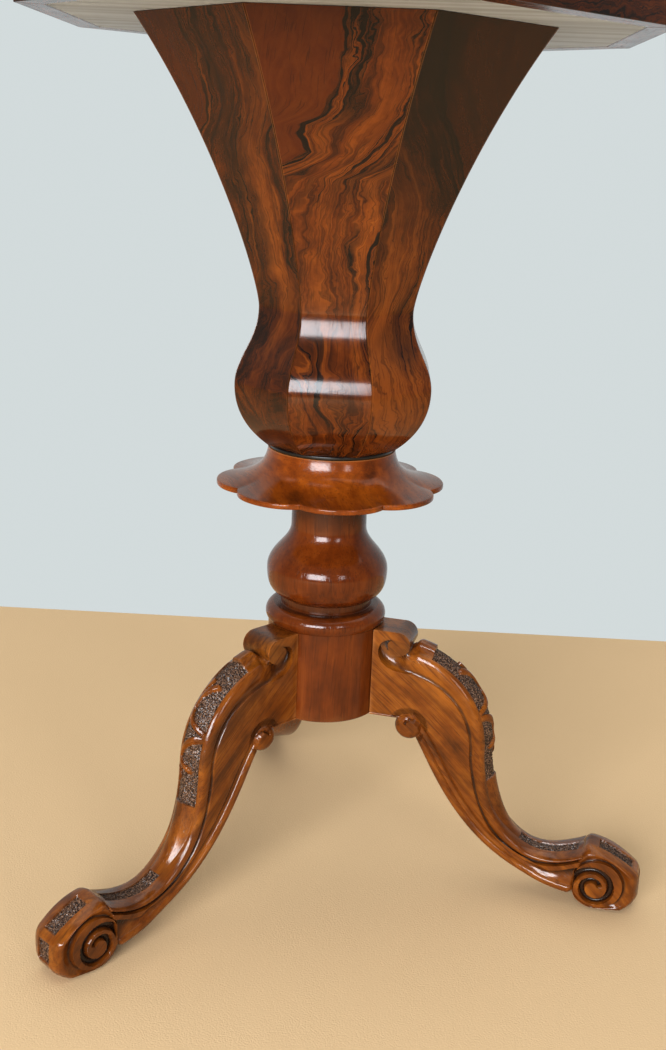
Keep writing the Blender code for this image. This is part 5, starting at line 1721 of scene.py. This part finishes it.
class WORKTABLE_OT_fittings(Operator):
    """Add the well walls, the dividers and the floor of the well"""
    bl_idname = "work_table.add_fittings"
    bl_label = "Well and dividers"

    def execute(self, context):
        outer = WELL_FLAT + FITTING_BOARD
        half = FITTING_BOARD / 2
        start = to_corner(outer) + GAP + half * math.tan(HALF_FACET)
        end = to_corner(INNER_FLAT) - GAP - half * math.tan(HALF_FACET)
        section = upright(outer, WELL_FLAT, FITTING_FOOT, FITTING_TOP)
        for k in range(FACETS):
            wall = to_mesh(ease(mitred(section), WELL_ROUND, 3))
            mark_grain(wall, (0, 1, 0), (0.13 * k, 0.4, 0.2 * k))
            add_piece(f"well_board_{k + 1}", wall, ["board_walnut"], [f"well_wall_{k + 1}"],
                      turn=facing(k))
            board = cuboid((start, -half, FITTING_FOOT), (end, half, FITTING_TOP))
            divider = to_mesh(ease(board, DIVIDER_ROUND, 3))
            mark_grain(divider, (1, 0, 0), (0.17 * k, 0.7, 0.2 * k))
            add_piece(f"divider_board_{k + 1}", divider, ["board_walnut"], [f"divider_{k + 1}"],
                      turn=facing(k) + HALF_FACET)
        flats, heights = zip(*[(flat - TRUMPET_WALL - GAP, height)
                               for flat, height in trumpet_profile()])
        low, high = [(to_corner(float(np.interp(z, heights, flats))), z) for z in WELL_FLOOR]
        section = [(0.0, WELL_FLOOR[0]), low, high, (0.0, WELL_FLOOR[1])]
        floor = to_mesh(spun(section, FACETS, FRONT - HALF_FACET))
        add_piece("well_bottom", floor, ["paper_lining"], ["well_floor"],
                  sharp=20.0)
        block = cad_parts["trumpet_block"]
        block.data.materials.clear()
        block.data.materials.append(bpy.data.materials["hidden_block"])
        return {"FINISHED"}


class WORKTABLE_OT_lid(Operator):
    """Add the lid and its lining"""
    bl_idname = "work_table.add_lid"
    bl_label = "Lid"

    def execute(self, context):
        board = lid_mesh(context.scene.work_table_sizes)
        mark_grain(board, (1, 0, 0), (0.6, 0.3, 0.1))
        add_piece("veneered_lid", board, ["trumpet_veneer", "trumpet_veneer", "black_polish"],
                  ["lid_board"], body="lid", sharp=15.0)
        lining = octagon_block(LINING_FLAT, LINING_TOP - LINING_BOARD, LINING_TOP)
        add_piece("lid_paper", to_mesh(ease(lining, LINING_ROUND)), ["paper_lining"],
                  ["lid_lining"], body="lid", sharp=15.0)
        return {"FINISHED"}


class WORKTABLE_OT_hinges(Operator):
    """Add the two brass hinges"""
    bl_idname = "work_table.add_hinges"
    bl_label = "Hinges"

    def execute(self, context):
        sizes = context.scene.work_table_sizes
        third, half = HINGE_LENGTH / 3, HINGE_LENGTH / 2
        outer = [(-half, -half + third - GAP / 2), (half - third + GAP / 2, half)]
        middle = [(-half + third + GAP / 2, half - third - GAP / 2)]
        for side, x in HINGE_PLACES.items():
            box_leaf = hinge_leaf(x, outer, BOX_TOP - LEAF_THICKNESS, BOX_TOP, 1, sizes)
            add_piece(f"brass_{side}_box_leaf", box_leaf, ["aged_brass"],
                      [f"hinge_{side}_box_leaf"])
            lid_leaf = hinge_leaf(x, middle, LID_FOOT, LID_FOOT + LEAF_THICKNESS, -1, sizes)
            add_piece(f"brass_{side}_lid_leaf", lid_leaf, ["aged_brass"],
                      [f"hinge_{side}_lid_leaf"], body="lid")
            pin = to_hinge(spun(chamfered(0.0, PIN_RADIUS, -half, half), 24), x)
            add_piece(f"brass_{side}_pin", pin, ["aged_brass"], [f"hinge_{side}_pin"])
        return {"FINISHED"}


def add_lamp(name, place, target, size, power, tone):
    """A soft rectangular light that looks at a point and isn't seen itself."""
    lamp = bpy.data.lights.new(name, "AREA")
    lamp.shape = "RECTANGLE"
    lamp.size, lamp.size_y = size
    lamp.energy = power
    lamp.color = tone
    stand = bpy.data.objects.new(name, lamp)
    stand.location = place
    stand.rotation_euler = (Vector(target) - Vector(place)).to_track_quat("-Z", "Y").to_euler()
    stand.visible_camera = False
    bpy.context.scene.collection.objects.link(stand)


class WORKTABLE_OT_stage(Operator):
    """Add the floor, the lights and the camera"""
    bl_idname = "work_table.add_stage"
    bl_label = "Stage"

    def execute(self, context):
        scene = context.scene
        colours = scene.work_table_colours
        bm = bmesh.new()
        bmesh.ops.create_grid(bm, x_segments=1, y_segments=1, size=FLOOR_HALF)
        bmesh.ops.translate(bm, verts=bm.verts, vec=FLOOR_PLACE)
        floor = bpy.data.objects.new("floor", to_mesh(bm, "floor"))
        floor.data.materials.append(bpy.data.materials["pale_floor"])
        scene.collection.objects.link(floor)
        world = bpy.data.worlds.new("soft_room")
        world.use_nodes = True
        room = Shade(world.node_tree)
        around = room.node("TexCoord", None, None, "Generated")
        way = room.node("SeparateXYZ", None, {0: around}, "Y")
        background = world.node_tree.nodes["Background"]
        background.inputs["Color"].default_value = (*colours.sky, 1.0)
        room.feed(background.inputs["Strength"], rise(way, -0.2, 0.75, 0.28, 1.0))
        scene.world = world
        for lamp in LAMPS:
            add_lamp(*lamp)
        camera = bpy.data.cameras.new("camera")
        camera.lens, camera.sensor_width, camera.shift_x = LENS, SENSOR, SHIFT
        viewer = bpy.data.objects.new("camera", camera)
        first, second, third = [Matrix.Rotation(math.radians(angle), 4, axis)
                                for angle, axis in CAMERA_TURNS]
        viewer.matrix_world = Matrix.Translation(CAMERA_PLACE) @ (first @ second @ third)
        scene.collection.objects.link(viewer)
        scene.camera = viewer
        scene.view_settings.view_transform = "Standard"
        scene.view_settings.exposure = EXPOSURE
        scene.view_settings.gamma = GAMMA
        return {"FINISHED"}


class WORKTABLE_PT_sidebar(Panel):
    """Builds the table piece by piece"""
    bl_idname = "WORKTABLE_PT_sidebar"
    bl_label = "Trumpet work table"
    bl_space_type = "VIEW_3D"
    bl_region_type = "UI"
    bl_category = "Work table"

    def draw(self, context):
        for operator in OPERATORS:
            self.layout.operator(operator.bl_idname)
        for group in (context.scene.work_table_sizes, context.scene.work_table_colours):
            for name in group.bl_rna.properties.keys():
                if name not in ("rna_type", "name"):
                    self.layout.prop(group, name)


OPERATORS = (WORKTABLE_OT_finishes, WORKTABLE_OT_staves, WORKTABLE_OT_column, WORKTABLE_OT_legs,
             WORKTABLE_OT_box, WORKTABLE_OT_fittings, WORKTABLE_OT_lid, WORKTABLE_OT_hinges,
             WORKTABLE_OT_stage)
CLASSES = (WorkTableSizes, WorkTableColours, *OPERATORS, WORKTABLE_PT_sidebar)


def register():
    """Register the classes and the settings."""
    for cls in CLASSES:
        bpy.utils.register_class(cls)
    bpy.types.Scene.work_table_sizes = PointerProperty(type=WorkTableSizes)
    bpy.types.Scene.work_table_colours = PointerProperty(type=WorkTableColours)


def unregister():
    """Take the settings and the classes away again."""
    del bpy.types.Scene.work_table_colours
    del bpy.types.Scene.work_table_sizes
    for cls in reversed(CLASSES):
        bpy.utils.unregister_class(cls)


def main():
    """Build every piece."""
    register()
    bpy.ops.work_table.make_finishes()
    bpy.ops.work_table.add_staves()
    bpy.ops.work_table.add_column()
    bpy.ops.work_table.add_legs()
    bpy.ops.work_table.add_box()
    bpy.ops.work_table.add_fittings()
    bpy.ops.work_table.add_lid()
    bpy.ops.work_table.add_hinges()
    bpy.ops.work_table.add_stage()


if __name__ == "__main__":
    main()
